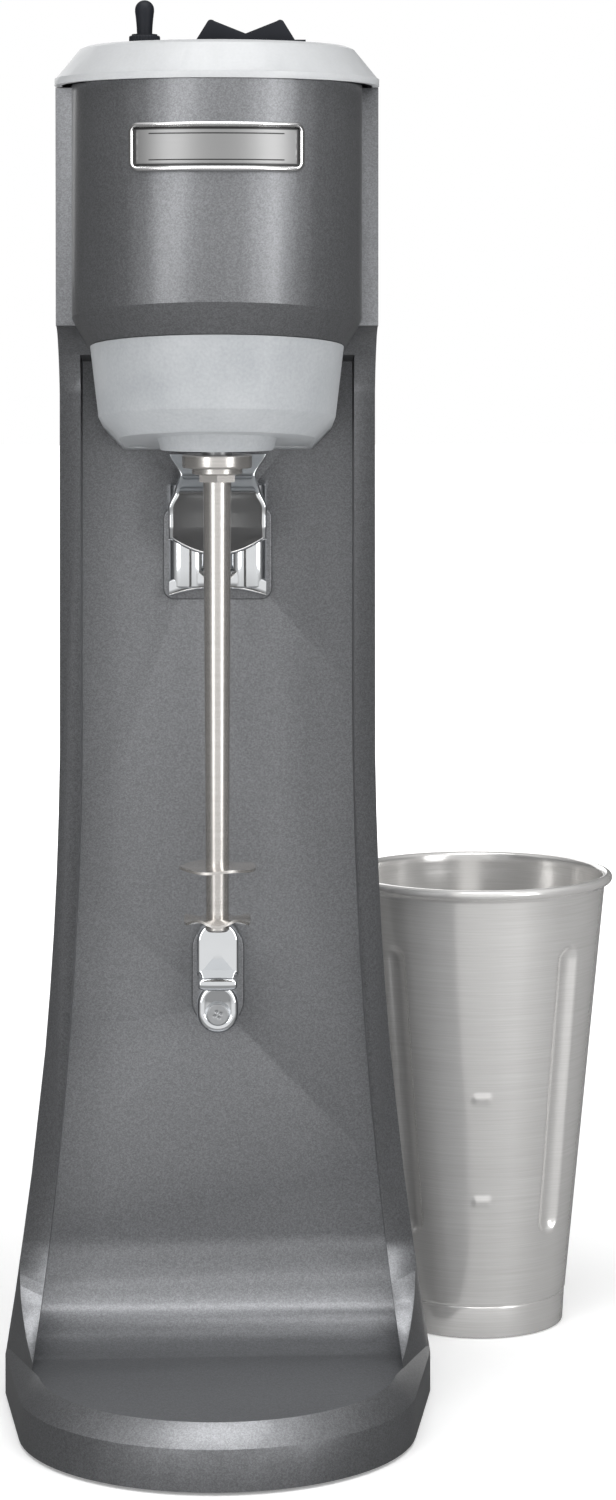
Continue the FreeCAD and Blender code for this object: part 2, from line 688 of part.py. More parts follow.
def make_toggle():
    """Body, bushing and ring nut of the toggle, and the lever on its cross pin."""
    x, y, top = d.toggle_x, d.switch_y, d.cap_top_z
    pivot = top - 0.5
    body_top = top - d.cap_wall - 0.2
    nut_top = top + 3.4
    low = d.motor_top_z + 4.8
    body = fuse("toggle_body_blank",
                box("toggle_block", x - 9, x + 9, y - 6.5, y + 6.5, low, body_top),
                rod("toggle_bush", d.bushing_r, nut_top + 0.5 - body_top + 1, x, y, body_top - 1))
    bore = rod("toggle_bore", d.bushing_bore, 30, x, y, pivot - 7)
    pin_bore = rod("toggle_pin_bore", 0.8, 20, x, y - 10, pivot, "Y")
    node("toggle_switch_body", cut("toggle_body_shape", body, bore, pin_bore))
    node("toggle_ring_nut", cut("toggle_nut_shape",
                                rod("toggle_nut_blank", d.toggle_nut_r, nut_top - top, x, y, top),
                                rod("toggle_nut_bore", d.bushing_r, 10, x, y, top - 1)))
    node("toggle_pin", rod("toggle_pin_shape", 0.8, d.bushing_r * 2 - 0.4, x,
                           y - d.bushing_r + 0.2, pivot, "Y"))
    neck, tip = d.toggle_neck_r, d.toggle_tip_r
    reach = d.toggle_tip_z - pivot
    ball = d.bushing_bore - 0.3
    stick = turned("toggle_stick", [
        (0, -5), (1.6, -5), (1.6, -2.6), (ball, -1.2), (ball, 1.2), (neck * 0.95, 2.6),
        (neck * 0.95, reach * 0.55), (tip, reach - tip, tip), (0, reach)], x, y, pivot)
    node("toggle_lever", cut("toggle_lever_shape", stick,
                             rod("toggle_lever_bore", 0.85, 20, x, y - 10, pivot, "Y")))


def make_rocker():
    """The winged rocker, its pin, and the frame and block that carry it."""
    x, y, top = d.rocker_x, d.switch_y, d.cap_top_z
    half, deep, pivot = d.rocker_half, d.rocker_deep / 2, top - 1.6
    peak, peak_z, dip_z = d.rocker_peak, d.rocker_peak_z, d.rocker_dip_z
    sill = top + 0.5
    wings = slab("rocker_wings", "XZ", y - deep, y + deep, [
        (x - half, sill), (x - 6, sill), (x - 3.4, pivot - 3), (x + 3.4, pivot - 3), (x + 6, sill),
        (x + half, sill), (x + peak + 1.3, peak_z - 0.4, 1.6), (x + peak - 0.9, peak_z - 0.4),
        (x, dip_z), (x - peak + 0.9, peak_z - 0.4, 1.6), (x - peak - 1.3, peak_z - 0.4)])
    bore = rod("rocker_bore", d.rocker_pin_r + 0.05, 40, x, y - 20, pivot, "Y")
    node("rocker_switch", cut("rocker_shape", wings, bore))
    wall = 1.3
    side = deep + wall + 0.25
    node("rocker_pin", rod("rocker_pin_shape", d.rocker_pin_r, side * 2 - 0.4, x, y - side + 0.2,
                           pivot, "Y"))
    frame_top = top + 1.5
    outer = half + 0.4 + wall
    x0, x1, y0, y1 = rocker_hole()
    block = fuse("rocker_block_blank",
                 box("rocker_block", x0 + 0.2, x1 - 0.2, y0 + 0.2, y1 - 0.2, top - 17,
                     top + 0.5),
                 box("rocker_frame", x - outer - 1.4, x + outer + 1.4, y - side - 1.4,
                     y + side + 1.4, top, frame_top))
    well = box("rocker_well", x - half - 0.35, x + half + 0.35, y - deep - 0.25, y + deep + 0.25,
               pivot - 4.6, top + 5)
    pin_seat = rod("rocker_pin_seat", d.rocker_pin_r, side * 2 - 0.4, x, y - side + 0.2, pivot,
                   "Y")
    node("rocker_switch_body", cut("rocker_body_shape", block, well, pin_seat))


# ---------------------------------------------------------------- shroud
def make_shroud():
    """The grey shroud below the head: a round front with straight sides back to the column."""
    back = d.recess_y - 0.4
    top = d.ceiling_z - 0.2
    blank = loft("shroud_blank", SIZES["slope"], (top, half_round(d.shroud_r, 0, back)),
                 (top - d.shroud_band, half_round(d.shroud_band_r, 0, back)),
                 (top - d.shroud_low, half_round(d.shroud_low_r, 0, back)))
    boss = cone("shroud_boss", d.boss_low_r, d.boss_r, 8, 0, 0, d.boss_z)
    w = d.shroud_wall
    hollow = loft("shroud_hollow", SIZES["slope"],
                  (top + 1, half_round(d.shroud_r - w, 0, back - w)),
                  (top - d.shroud_band, half_round(d.shroud_band_r - w, 0, back - w)),
                  (top - d.shroud_low + w, half_round(d.shroud_low_r - w, 0, back - w)))
    posts = []
    for i, (x, y) in enumerate(shroud_screw_spots()):
        posts.append(common(f"shroud_post{i}", blank_post(i, x, y, top), blank))
    hole = rod("shroud_shaft_hole", d.shaft_hole_r, 40, 0, 0, d.boss_z - 10)
    whole = fuse("shroud_whole", cut("shroud_shell", fuse("shroud_solid", blank, boss), hollow),
                 *posts)
    cuts = [hole]
    for i, (x, y) in enumerate(shroud_screw_spots()):
        cuts.append(rod(f"shroud_screw_hole{i}", 1.8, 80, x, y, top - 70))
        cuts.append(rod(f"shroud_sink{i}", 3.6, 26, x, y, shroud_seat() - 26))
    node("motor_shroud", cut("motor_shroud_shape", whole, *cuts))
    screw = pan_screw("shroud_screw", 2.9, 1.9, 1.55, d.ceiling_z - shroud_seat())
    node("shroud_screws", copies("shroud_screw_set", screw,
                                 [(x, y, shroud_seat()) for x, y in shroud_screw_spots()]))


def shroud_seat():
    return d.ceiling_z - 22


def blank_post(i, x, y, top):
    return rod(f"shroud_post_blank{i}", 5, 60, x, y, top - 50)


# ---------------------------------------------------------------- motor
def make_motor():
    stack_top = d.stack_z + d.stack
    rim = d.motor_r
    bolts = [(rim - 5) * 0.7071, (rim - 5) * -0.7071]
    spots = [(a, b) for a in bolts for b in bolts]
    bolt_holes = [rod(f"stator_hole{i}", 2.1, 200, x, y, 350) for i, (x, y) in enumerate(spots)]
    seat = d.bearing_r
    cup_in = motor_hole() - 4.6
    low = d.ceiling_z - 25
    flange = d.motor_floor_z + 2.6
    lower = turned("lower_bracket_blank", [
        (5, low), (seat + 2.6, low), (cup_in, low + 10), (cup_in + 3, low + 12),
        (cup_in + 3, flange), (d.drum_r - d.wall - 1, flange), (d.drum_r - d.wall - 1, flange + 2.4),
        (rim, flange + 2.4), (rim, d.stack_z), (rim - 2.4, d.stack_z), (rim - 2.4, flange + 2.4),
        (cup_in, flange + 2.4), (cup_in, low + 13), (seat + 1, low + 11),
        (seat, low + 11), (seat, low + 2.4), (5, low + 2.4)])
    mounts = [rod(f"bracket_mount_hole{i}", 2, 200, x, y, 350)
              for i, (x, y) in enumerate(mount_spots())]
    node("lower_motor_bracket", cut("lower_bracket_shape", lower, *bolt_holes, *mounts))
    node("lower_bearing", bearing("lower_bearing_shape", seat, low + 2.4))
    grommet = cut("grommet", rod("grommet_blank", 4, 2.6), rod("grommet_bore", 1.6, 4, 0, 0, -0.5))
    node("motor_grommets", copies("grommet_set", grommet,
                                  [(x, y, d.motor_floor_z) for x, y in mount_spots()]))
    screw = pan_screw("mount_screw", 3.2, 2, 1.55, 9)
    node("motor_mount_screws", copies("mount_screw_set", screw, [
        (x, y, flange + 2.4, X, 180) for x, y in mount_spots()]))
    node("stator_core", cut("stator_shape", shell_wall("stator_wall", d.stator_bore, rim,
                                                       d.stack_z, d.stack),
                            *[rod(f"core_hole{i}", 2.1, 60, x, y, d.stack_z - 10)
                              for i, (x, y) in enumerate(spots)]))
    coil_in, coil_out = d.stator_bore + 1, rim - 8.6
    node("field_coils", compound("field_coil_pair", [
        shell_wall("coil_low", coil_in, coil_out, d.stack_z - d.coil, d.coil),
        shell_wall("coil_high", coil_in, coil_out, stack_top, d.coil)]))
    top = d.motor_top_z
    upper = turned("upper_bracket_blank", [
        (d.shaft_r + 1, top), (d.shaft_r + 1, top + 2.6), (seat + 2, top + 2.6), (seat + 2, top),
        (rim, top), (rim, stack_top), (rim - 2.4, stack_top), (rim - 2.4, top - 2.4),
        (seat + 2, top - 2.4), (seat + 2, top - d.bearing_wide), (seat, top - d.bearing_wide),
        (seat, top)])
    vents = [box(f"upper_vent{i}", *span, d.stack_z + d.stack + 4, top - 6)
             for i, span in enumerate(((-60, 60, -14, -5), (-60, 60, 5, 14)))]
    sockets = box("brush_socket", -60, 60, -4.2, 4.2, brush_z() - 4.2, brush_z() + 4.2)
    top_holes = [rod(f"upper_hole{i}", 2.1, 200, x, y, 440) for i, (x, y) in enumerate(spots)]
    node("upper_motor_bracket", cut("upper_bracket_shape", upper, *vents, sockets, *top_holes))
    node("upper_bearing", bearing("upper_bearing_shape", seat, top - d.bearing_wide))
    bolt = pan_screw("through_bolt", 3.4, 2.4, 2.0, top - flange + 2)
    node("motor_bolts", copies("bolt_set", bolt, [(x, y, top, X, 180) for x, y in spots]))
    make_rotor(low, stack_top)
    make_brushes(rim)


def brush_z():
    return d.stack_z + d.stack + d.coil + 5


def compound(name, pieces):
    solid = doc.addObject("Part::Compound", name)
    solid.Links = pieces
    return solid


def bearing(name, outer, low):
    """A sealed ball bearing as one ring."""
    return shell_wall(name, d.shaft_r, outer, low, d.bearing_wide)


def make_rotor(low, stack_top):
    core_r = d.stator_bore - d.air_gap
    r = d.shaft_r
    node("motor_shaft", turned("shaft_shape", [
        (0, d.collar_z), (d.thread_r, d.collar_z), (d.thread_r, low - 1.6), (r + 0.8, low - 0.4),
        (r + 0.8, low + 2.4), (r, low + 2.4), (r, d.motor_top_z + 1.4), (0, d.motor_top_z + 1.4)]))
    node("rotor_core", shell_wall("core_shape", r, core_r, d.stack_z, d.stack))
    node("rotor_windings", compound("winding_pair", [
        shell_wall("winding_low", r, core_r - 4, d.stack_z - d.coil + 1, d.coil - 1),
        shell_wall("winding_high", r, core_r - 4, stack_top, d.coil - 3)]))
    node("commutator", shell_wall("commutator_shape", r, d.commutator_r, stack_top + d.coil - 2,
                                  11))
    hub = shell_wall("fan_hub", r, 9, low + 14, 9)
    disc = shell_wall("fan_disc", 8.5, motor_hole() - 7, low + 22, 1.6)
    blades = []
    for i in range(8):
        blade = box(f"fan_blade{i}", 8.5, motor_hole() - 7.2, -0.7, 0.7, low + 14, low + 22.2)
        turn = math.radians(i * 45)
        at = FreeCAD.Vector(8.5 * math.cos(turn) + 0.7 * math.sin(turn),
                            8.5 * math.sin(turn) - 0.7 * math.cos(turn), 0)
        blade.Placement.Rotation = FreeCAD.Rotation(Z, i * 45)
        blade.setExpression("Placement.Base.x", as_size(at.x).text)
        blade.setExpression("Placement.Base.y", as_size(at.y).text)
        blades.append(blade)
    node("cooling_fan", fuse("fan_shape", hub, disc, *blades))


def make_brushes(rim):
    """Brush holders through the upper bracket, with a carbon brush and a spring in each."""
    z = brush_z()
    holders, brushes, springs = [], [], []
    for i, side in enumerate((-1, 1)):
        near, far = sorted_span(side, 13, rim + 1.5)
        inner, outer = sorted_span(side, 12, rim - 0.5)
        holders.append(cut(f"brush_holder{i}",
                           box(f"brush_holder_out{i}", near, far, -4.2, 4.2, z - 4.2, z + 4.2),
                           box(f"brush_holder_in{i}", inner, outer, -3.1, 3.1, z - 3.1, z + 3.1)))
        near, far = sorted_span(side, d.commutator_r + 0.1, 27)
        brushes.append(box(f"carbon_brush{i}", near, far, -3, 3, z - 3, z + 3))
        near, far = sorted_span(side, 27, rim - 0.5)
        springs.append(rod(f"brush_spring{i}", 2.4, far - near, near, 0, z, "X"))
    node("brush_holders", compound("holder_pair", holders))
    node("carbon_brushes", compound("brush_pair", brushes))
    node("brush_springs", compound("spring_pair", springs))


# ---------------------------------------------------------------- spindle
def make_spindle():
    node("spindle_collar", turned("collar_shape", [
        (d.thread_r, d.collar_z), (d.thread_r, d.collar_top_z), (d.collar_r, d.collar_top_z),
        (d.collar_r, d.collar_z), (d.step_r, d.collar_z), (d.step_r, d.collar_z - 2.0),
        (d.step_r - 1.4, d.collar_z - 2.4), (0, d.collar_z - 2.4), (0, d.collar_z)]))
    facets = []
    for i in range(6):
        turn = math.radians(60 * i + 30)
        facets.append((d.hex_r * math.cos(turn), d.hex_r * math.sin(turn)))
    hexagon = slab("hex_blank", "XY", d.hex_z, d.collar_z - 2.4, facets)
    socket = rod("hex_socket", d.spindle_r, 3, 0, 0, d.hex_z - 0.01)
    node("spindle_hex", cut("hex_shape", hexagon, socket))
    top = d.collar_z - 2.4
    node("spindle", turned("spindle_shape", [
        (0, d.spindle_z), (d.spindle_low_r - 0.6, d.spindle_z),
        (d.spindle_low_r, d.spindle_z + 0.6), (d.spindle_r, d.hex_z), (d.spindle_r, top),
        (0, top)]))
    node("upper_agitator", shaped("upper_agitator_shape", wavy_disc(
        spindle_radius_at("disc_z"), "disc_r", "disc_z", 0.35, 4)))
    node("lower_agitator", shaped("lower_agitator_shape", wavy_disc(
        spindle_radius_at("wave_z"), "wave_r", "wave_z", 1.0, 5)))
    node("agitator_nut", turned("agitator_nut_shape", [
        (0, d.spindle_z - 1.8), (3.6, d.spindle_z - 1.8), (4.4, d.spindle_z - 1.0),
        (4.4, d.spindle_z), (0, d.spindle_z)]))


def spindle_radius_at(name):
    """The tapered spindle's radius just below a disc, so that the disc's bore clears it."""
    low, top = SIZES["spindle_z"], SIZES["hex_z"]
    share = (SIZES[name] + SIZES["sheet"] - low) / (top - low)
    return SIZES["spindle_low_r"] + share * (SIZES["spindle_r"] - SIZES["spindle_low_r"])


def wavy_disc(bore, radius_name, height_name, share, waves):
    """A thin disc whose rim rises and falls; bore flat, rim on a closed smooth curve."""
    radius, middle, thick = SIZES[radius_name], SIZES[height_name], SIZES["sheet"]
    swing = SIZES["wave"] * share
    sides = []
    for z in (middle - thick / 2, middle + thick / 2):
        points = []
        for i in range(waves * 8):
            turn = 2 * math.pi * i / (waves * 8)
            points.append(FreeCAD.Vector(radius * math.cos(turn), radius * math.sin(turn),
                                         z + swing * math.sin(waves * turn)))
        curve = Part.BSplineCurve()
        curve.interpolate(Points=points, PeriodicFlag=True)
        inner = Part.Circle(FreeCAD.Vector(0, 0, z), Z, bore)
        sides.append((curve.toShape(), inner.toShape()))
    (rim_low, bore_low), (rim_top, bore_top) = sides
    faces = [Part.makeRuledSurface(bore_low, rim_low), Part.makeRuledSurface(bore_top, rim_top),
             Part.makeRuledSurface(rim_low, rim_top), Part.makeRuledSurface(bore_low, bore_top)]
    skin = Part.makeShell(faces)
    skin.sewShape()
    solid = Part.makeSolid(skin)
    if solid.Volume < 0:
        solid.reverse()
    return solid


# ---------------------------------------------------------------- cup guide
def make_guide():
    y = d.recess_y
    half, low, top = d.guide_half, d.guide_low_z, d.guide_top_z
    front = y - d.gasket - d.guide_plate
    bell = [(-half, low), (0, low + 3.2), (half, low), (half, top - 20),
            (half * 0.80, top - 8.5), (half * 0.97, top), (half * -0.97, top),
            (half * -0.80, top - 8.5), (-half, top - 20)]
    bell_slab = slab("guide_bell", "XZ", 20, y - d.gasket, bell)
    back = box("guide_back", -half, half, front, y - d.gasket, low, top)
    r, t, tip = d.tongue_r, d.tongue_thick, d.tongue_z
    hook = turned("guide_hook", [
        (r, tip), (r + t * 0.8, tip), (r + t, tip + 3), (r + t + 0.6, d.rim_room_z),
        (y + 4, d.rim_room_z), (y + 4, top), (r + 5, top), (r + 1, top - 6), (r - 0.8, top - 20)])
    lobes = box("guide_span", -half, half, 20, y - d.gasket, low, top)
    hook = common("guide_tongue", hook, lobes)
    blank = common("guide_blank", fuse("guide_solid", back, hook), bell_slab)
    slot = box("guide_slot", -4.6, 4.6, front - 1, y, low + 12, d.rim_room_z)
    pin = rod("guide_pin_bore", d.lever_pin_r, 13, -6.5, lever_y(), d.lever_pivot_z, "X")
    ears = [box(f"guide_ear{i}", *sorted_span(side, 4.6, 7), lever_y() - 2.2, front + 0.5,
                d.lever_pivot_z - 2.4, d.rim_room_z + 1) for i, side in enumerate((-1, 1))]
    holes = [rod(f"guide_screw_hole{i}", 1.8, 10, x, front - 3, z, "Y")
             for i, (x, z) in enumerate(guide_screw_spots())]
    node("cup_guide", cut("cup_guide_shape", fuse("guide_whole", blank, *ears), slot, pin, *holes))
    edge = 2.0
    g_half, g_top = half + edge, top - 21
    pad = slab("gasket_blank", "XZ", y - d.gasket, y,
               [(-g_half, low - 1), (g_half, low - 1), (g_half, g_top - 3, 3), (g_half - 3, g_top),
                (3 - g_half, g_top, 3), (-g_half, g_top - 3)])
    window = box("gasket_window", -6, 6, y - 3, y + 1, d.lever_pivot_z - d.lever_long - 3,
                 d.rim_room_z + 2)
    gasket_holes = [rod(f"gasket_hole{i}", 1.8, 5, x, y - 3, z, "Y")
                    for i, (x, z) in enumerate(guide_screw_spots())]
    node("guide_gasket", cut("gasket_shape", pad, window, *gasket_holes))
    screw = pan_screw("guide_screw", 2.7, 1.6, 1.55, 9)
    node("guide_screws", copies("guide_screw_set", screw,
                                [(x, front, z, X, -90) for x, z in guide_screw_spots()]))
    make_lever()


def lever_y():
    return d.recess_y - d.gasket - d.guide_plate - 1.8


def make_lever():
    """The lever that the cup's rim pushes back, its pin, and the switch behind the wall."""
    y, z, long = lever_y(), d.lever_pivot_z, d.lever_long
    hub = rod("lever_hub", d.lever_pin_r + 1.0, 8.4, -4.2, y, z, "X")
    blade = slab("lever_blade", "YZ", -4.2, 4.2, [
        (y - 1.2, z - long), (y + 0.6, z - long), (y + 0.9, z - 1), (y + 0.9, z), (y - 1.2, z)])
    bore = rod("lever_bore", d.lever_pin_r + 0.05, 20, -10, y, z, "X")
    node("cup_switch_lever", cut("lever_shape", fuse("lever_whole", hub, blade), bore))
    node("lever_pin", rod("lever_pin_shape", d.lever_pin_r, 13, -6.5, y, z, "X"))
    back = d.recess_y + d.wall
    mid = z - long + 3.4
    plunger_y = y + 1.0
    node("switch_plunger", rod("plunger_shape", 1.6, back + 3.2 - plunger_y, 0, plunger_y, mid,
                               "Y"))
    block = cut("microswitch_shape",
                box("microswitch_block", -5, 5, back, back + 12, mid - 6, mid + 14),
                rod("plunger_bore", 1.65, 8.2, 0, back - 1, mid, "Y"))
    node("microswitch", block)


# ---------------------------------------------------------------- cup rest
def make_rest():
    y = d.recess_y
    half, low, top = d.rest_half, d.rest_low_z, d.rest_top_z
    plate = 1.5
    wide, r = half + 1.85, half + 1.85
    e_low, e_top = low, top + 1.5
    node("rest_escutcheon", cut(
        "escutcheon_shape",
        slab("escutcheon_blank", "XZ", y - plate, y,
             [(-wide, e_low + r, r), (0, e_low, r), (wide, e_low + r), (wide, e_top - r, r),
              (0, e_top, r), (-wide, e_top - r)]),
        rod("escutcheon_hole", 2.2, 5, 0, y - 3, d.rest_screw_z, "Y")))
    side = slab("rest_side", "YZ", -half, half, [
        (y - plate, low), (y - plate, top), (d.rest_face_y + 1.5, top),
        (d.rest_face_y, top - 4), (d.rest_face_y, d.ledge_z), (d.ledge_y, d.ledge_z),
        (d.ledge_y, d.ledge_z - d.ledge_thick), (d.rest_face_y - 6, d.ledge_z - d.ledge_thick - 2.5),
        (d.rest_face_y - 7, d.rest_screw_z + 4), (d.rest_face_y - 6, low + 2), (y - 8, low)])
    body = half - 0.8
    face = slab("rest_front", "XZ", d.ledge_y - 5, y, [
        (-body, low + body, body), (0, low, body), (body, low + body),
        (body, d.ledge_z - d.ledge_thick - 2.4), (half, d.ledge_z - d.ledge_thick - 1.6),
        (half, top - half, half), (0, top, half), (-half, top - half),
        (-half, d.ledge_z - d.ledge_thick - 1.6), (-body, d.ledge_z - d.ledge_thick - 2.4)])
    sink = rod("rest_sink", d.rest_screw_r + 0.4, 3.2, 0, d.rest_face_y - 8, d.rest_screw_z, "Y")
    hole = rod("rest_bore", 2.2, 40, 0, d.rest_face_y - 12, d.rest_screw_z, "Y")
    node("cup_rest", cut("cup_rest_shape", common("rest_blank", side, face), sink, hole))
    seat = d.rest_face_y - 4.8
    screw = pan_screw("rest_screw", d.rest_screw_r, 2.0, 2.05, y + d.wall + 3 - seat)
    node("cup_rest_screw", copies("rest_screw_set", screw, [(0, seat, d.rest_screw_z, X, -90)]))
    node("rest_nut", cut("rest_nut_shape",
                         rod("rest_nut_blank", 4.4, 2.6, 0, y + d.wall, d.rest_screw_z, "Y"),
                         rod("rest_nut_bore", 2.05, 6, 0, y + d.wall - 1, d.rest_screw_z, "Y")))


# ---------------------------------------------------------------- speed board
def make_board():
    """The speed control board on its stand-offs inside the column."""
    y = d.recess_y + d.wall
    spots = [(-30, 210), (30, 210), (-30, 280), (30, 280)]
    stand = cut("standoff", rod("standoff_blank", 3.4, 5, 0, 0, 0, "Y"),
                rod("standoff_bore", 1.3, 7, 0, -1, 0, "Y"))
    node("board_standoffs", copies("standoff_set", stand, [(x, y, z) for x, z in spots]))
    board = slab("board_blank", "XZ", y + 5, y + 6.6, [(-36, 204), (36, 204), (36, 286), (-36, 286)])
    holes = [rod(f"board_hole{i}", 1.4, 6, x, y + 3, z, "Y") for i, (x, z) in enumerate(spots)]
    node("speed_board", cut("board_shape", board, *holes))
    screw = pan_screw("board_screw", 2.4, 1.6, 1.25, 5)
    node("board_screws", copies("board_screw_set", screw,
                                [(x, y + 6.6, z, X, 90) for x, z in spots]))
    node("board_heat_sink", box("heat_sink", -14, 14, y + 6.6, y + 24, 226, 262))


# ---------------------------------------------------------------- cup
def cup_spot():
    """The cup stands clear of the mixer, beside and behind its rear right corner."""
    return d.base_half + d.cup_beside, d.back_y + d.cup_behind


def make_cup():
    """Tapered cup: rolled rim, seam near the foot, four flutes pressed in."""
    x, y = cup_spot()
    t, tall = d.cup_sheet, d.cup_tall
    bead = d.cup_bead
    neck_z = tall - bead * 2
    foot, seam, seam_z, mouth = d.cup_foot_r, d.cup_seam_r, d.cup_seam_z, d.cup_mouth_r
    outside = turned("cup_outside", [
        (0, 0), (foot - 1, 0), (foot, 1), (seam - 0.25, seam_z - 0.6), (seam, seam_z + 0.2),
        (mouth, neck_z), (mouth, tall), (0, tall)], x, y, 0)
    inside = turned("cup_inside", [
        (0, 2.4), (foot - t - 2, 2.4), (foot - t, 5), (seam - t, seam_z), (mouth - t, neck_z),
        (mouth - t, tall + 5), (0, tall + 5)], x, y, 0)
    outside = cut("cup_outer_fluted", outside, *flutes("outer_flute", d.flute_r))
    inside = cut("cup_inner_fluted", inside, *flutes("inner_flute", d.flute_r + t))
    shell = cut("cup_shell", outside, inside)
    rim = doc.addObject("Part::Torus", "cup_rim")
    bind(rim, Radius1=mouth - t + bead, Radius2=bead)
    place(rim, x, y, tall - bead)
    hollow = rod("cup_dish", foot - 4, 1.4, x, y, -0.4)
    node("cup", cut("cup_shape", fuse("cup_whole", shell, rim), hollow))


def flutes(name, radius):
    """Rods with round ends, laid along the slanting wall so that their sides press into it."""
    rise = SIZES["cup_tall"] - SIZES["cup_bead"] * 2 - SIZES["cup_seam_z"]
    slant = math.atan2(SIZES["cup_mouth_r"] - SIZES["cup_seam_r"], rise)
    low, top = SIZES["flute_low_z"], SIZES["flute_top_z"]
    off = SIZES["flute_r"] - SIZES["flute_deep"]
    reach = SIZES["cup_seam_r"] + (low - SIZES["cup_seam_z"]) * math.tan(slant) + off
    tools = []
    for i, turn in enumerate((-1, 1, -3, 3)):
        angle = SIZES["flute_turn"] if abs(turn) == 1 else 180 - SIZES["flute_turn"]
        angle = math.copysign(angle, turn)
        out = FreeCAD.Rotation(Z, angle).multVec(FreeCAD.Vector(0, -1, 0))
        lean = out * math.sin(slant) + Z * math.cos(slant)
        length = (top - low) / math.cos(slant)
        spin = FreeCAD.Rotation(Z, lean)
        start = out * reach + Z * low
        end = start + lean * length
        bar = doc.addObject("Part::Cylinder", f"{name}_bar{i}")
        bind(bar, Radius=radius)
        bar.Height = length
        tools.append(put(bar, start, spin))
        for tag, spot in (("low", start), ("top", end)):
            ball = doc.addObject("Part::Sphere", f"{name}_{tag}{i}")
            bind(ball, Radius=radius)
            tools.append(put(ball, spot, spin))
    return tools


def put(thing, spot, spin):
    """Place a flute's rod or ball in the cup's own frame, which stands at the bound cup centre."""
    x, y = cup_spot()
    thing.Placement = FreeCAD.Placement(spot, spin)
    bind(thing, **{"Placement.Base.x": x + spot.x, "Placement.Base.y": y + spot.y,
                   "Placement.Base.z": spot.z})
    return thing


# ---------------------------------------------------------------- build and export
def check_document():
    for thing in doc.Objects:
        bad = [state for state in thing.State if state in ("Invalid", "Error")]
        if bad:
            raise SystemExit(f"{thing.Name} ({thing.Label}) is {bad}")
    for name, piece in PARTS:
        shape = piece.Shape
        if shape.isNull() or not shape.isValid() or not shape.Solids:
            raise SystemExit(f"{name} has no valid solid")


def main():
    make_housing()
    make_foot()
    make_cover()
    make_gland()
    make_cap()
    make_nameplate()
    make_toggle()
    make_rocker()
    make_shroud()
    make_motor()
    make_spindle()
    make_guide()
    make_rest()
    make_board()
    make_cup()
    doc.recompute()
    check_document()
    os.makedirs("parts", exist_ok=True)
    for name, piece in PARTS:
        piece.Shape.exportStep(f"parts/{name}.step")
        print(f"{name}: {len(piece.Shape.Solids)} solids, {piece.Shape.Volume:.1f} mm3")


main()
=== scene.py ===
# %% [markdown]
# # A bar milkshake mixer with its cup
# The mixer is a painted casting: a wide foot, a hollow column and a round motor head. A light
# plastic cap, a grey motor shroud, a chrome cup guide and a chrome cup rest are fixed to it, and a
# steel spindle hangs from the motor. The measured model comes in first and fixes every size and
# place, and each step after that gives one piece its finished surface.

# %% Load the measured model
import bmesh
import bpy
import math
import numpy as np
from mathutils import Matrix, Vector


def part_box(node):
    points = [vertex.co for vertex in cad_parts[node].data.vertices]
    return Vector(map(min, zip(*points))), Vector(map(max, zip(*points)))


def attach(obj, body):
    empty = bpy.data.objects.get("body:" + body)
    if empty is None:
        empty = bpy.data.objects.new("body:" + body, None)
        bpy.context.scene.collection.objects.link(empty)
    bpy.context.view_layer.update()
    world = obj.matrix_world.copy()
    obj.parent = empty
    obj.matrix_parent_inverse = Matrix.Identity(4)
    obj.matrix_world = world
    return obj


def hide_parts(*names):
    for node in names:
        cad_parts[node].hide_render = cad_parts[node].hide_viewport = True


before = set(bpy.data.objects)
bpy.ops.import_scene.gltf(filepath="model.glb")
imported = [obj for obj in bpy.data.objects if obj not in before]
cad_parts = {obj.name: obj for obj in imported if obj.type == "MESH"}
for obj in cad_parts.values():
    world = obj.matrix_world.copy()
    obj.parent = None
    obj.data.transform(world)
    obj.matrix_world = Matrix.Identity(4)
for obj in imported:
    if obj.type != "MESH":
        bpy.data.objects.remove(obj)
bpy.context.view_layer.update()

# %% [markdown]
# ## Writing shader sums as sums
# A finish needs sums on noise values. Each could be a Math node placed by hand, but a wrapped
# socket that knows plus, minus and times reads like the formula itself. One other method makes any
# node, so every finish below is only a list of what the real surface does.


# %% A wrapped socket, and a finish that makes nodes
class Wire:
    """A node's output; plus, minus and times on it add Math nodes."""

    def __init__(self, sheet, socket):
        self.sheet, self.socket = sheet, socket

    def sum_with(self, operation, first, second):
        return self.sheet.maths(operation, first, second)

    def __add__(self, other):
        return self.sum_with("ADD", self, other)

    def __sub__(self, other):
        return self.sum_with("SUBTRACT", self, other)

    def __mul__(self, other):
        return self.sum_with("MULTIPLY", self, other)

    def __radd__(self, other):
        return self.sum_with("ADD", other, self)

    def __rsub__(self, other):
        return self.sum_with("SUBTRACT", other, self)

    def __rmul__(self, other):
        return self.sum_with("MULTIPLY", other, self)


class NodeSheet:
    """A sheet of shader nodes, for a material or for the room's light."""

    def __init__(self, tree):
        self.tree = tree

    def plug(self, socket, value):
        if isinstance(value, Wire):
            self.tree.links.new(value.socket, socket)
        else:
            socket.default_value = value

    def add(self, kind, settings=None, sockets=None, out=0):
        """Any node: its settings first, then the values or wires of its sockets."""
        node = self.tree.nodes.new(kind)
        for title, value in (settings or {}).items():
            setattr(node, title, value)
        for title, value in (sockets or {}).items():
            self.plug(node.inputs[title], value)
        return Wire(self, node.outputs[out])

    def maths(self, operation, *values):
        return self.add("ShaderNodeMath", {"operation": operation}, dict(enumerate(values)))

    def split(self, vector):
        """The three parts of a vector, each as a wire."""
        node = self.add("ShaderNodeSeparateXYZ", None, {"Vector": vector}).socket.node
        return [Wire(self, part) for part in node.outputs]

    def ramp(self, value, low, high):
        """Zero below low, one above high, a straight rise between."""
        return self.add("ShaderNodeMapRange", None,
                        {"Value": value, "From Min": low, "From Max": high})


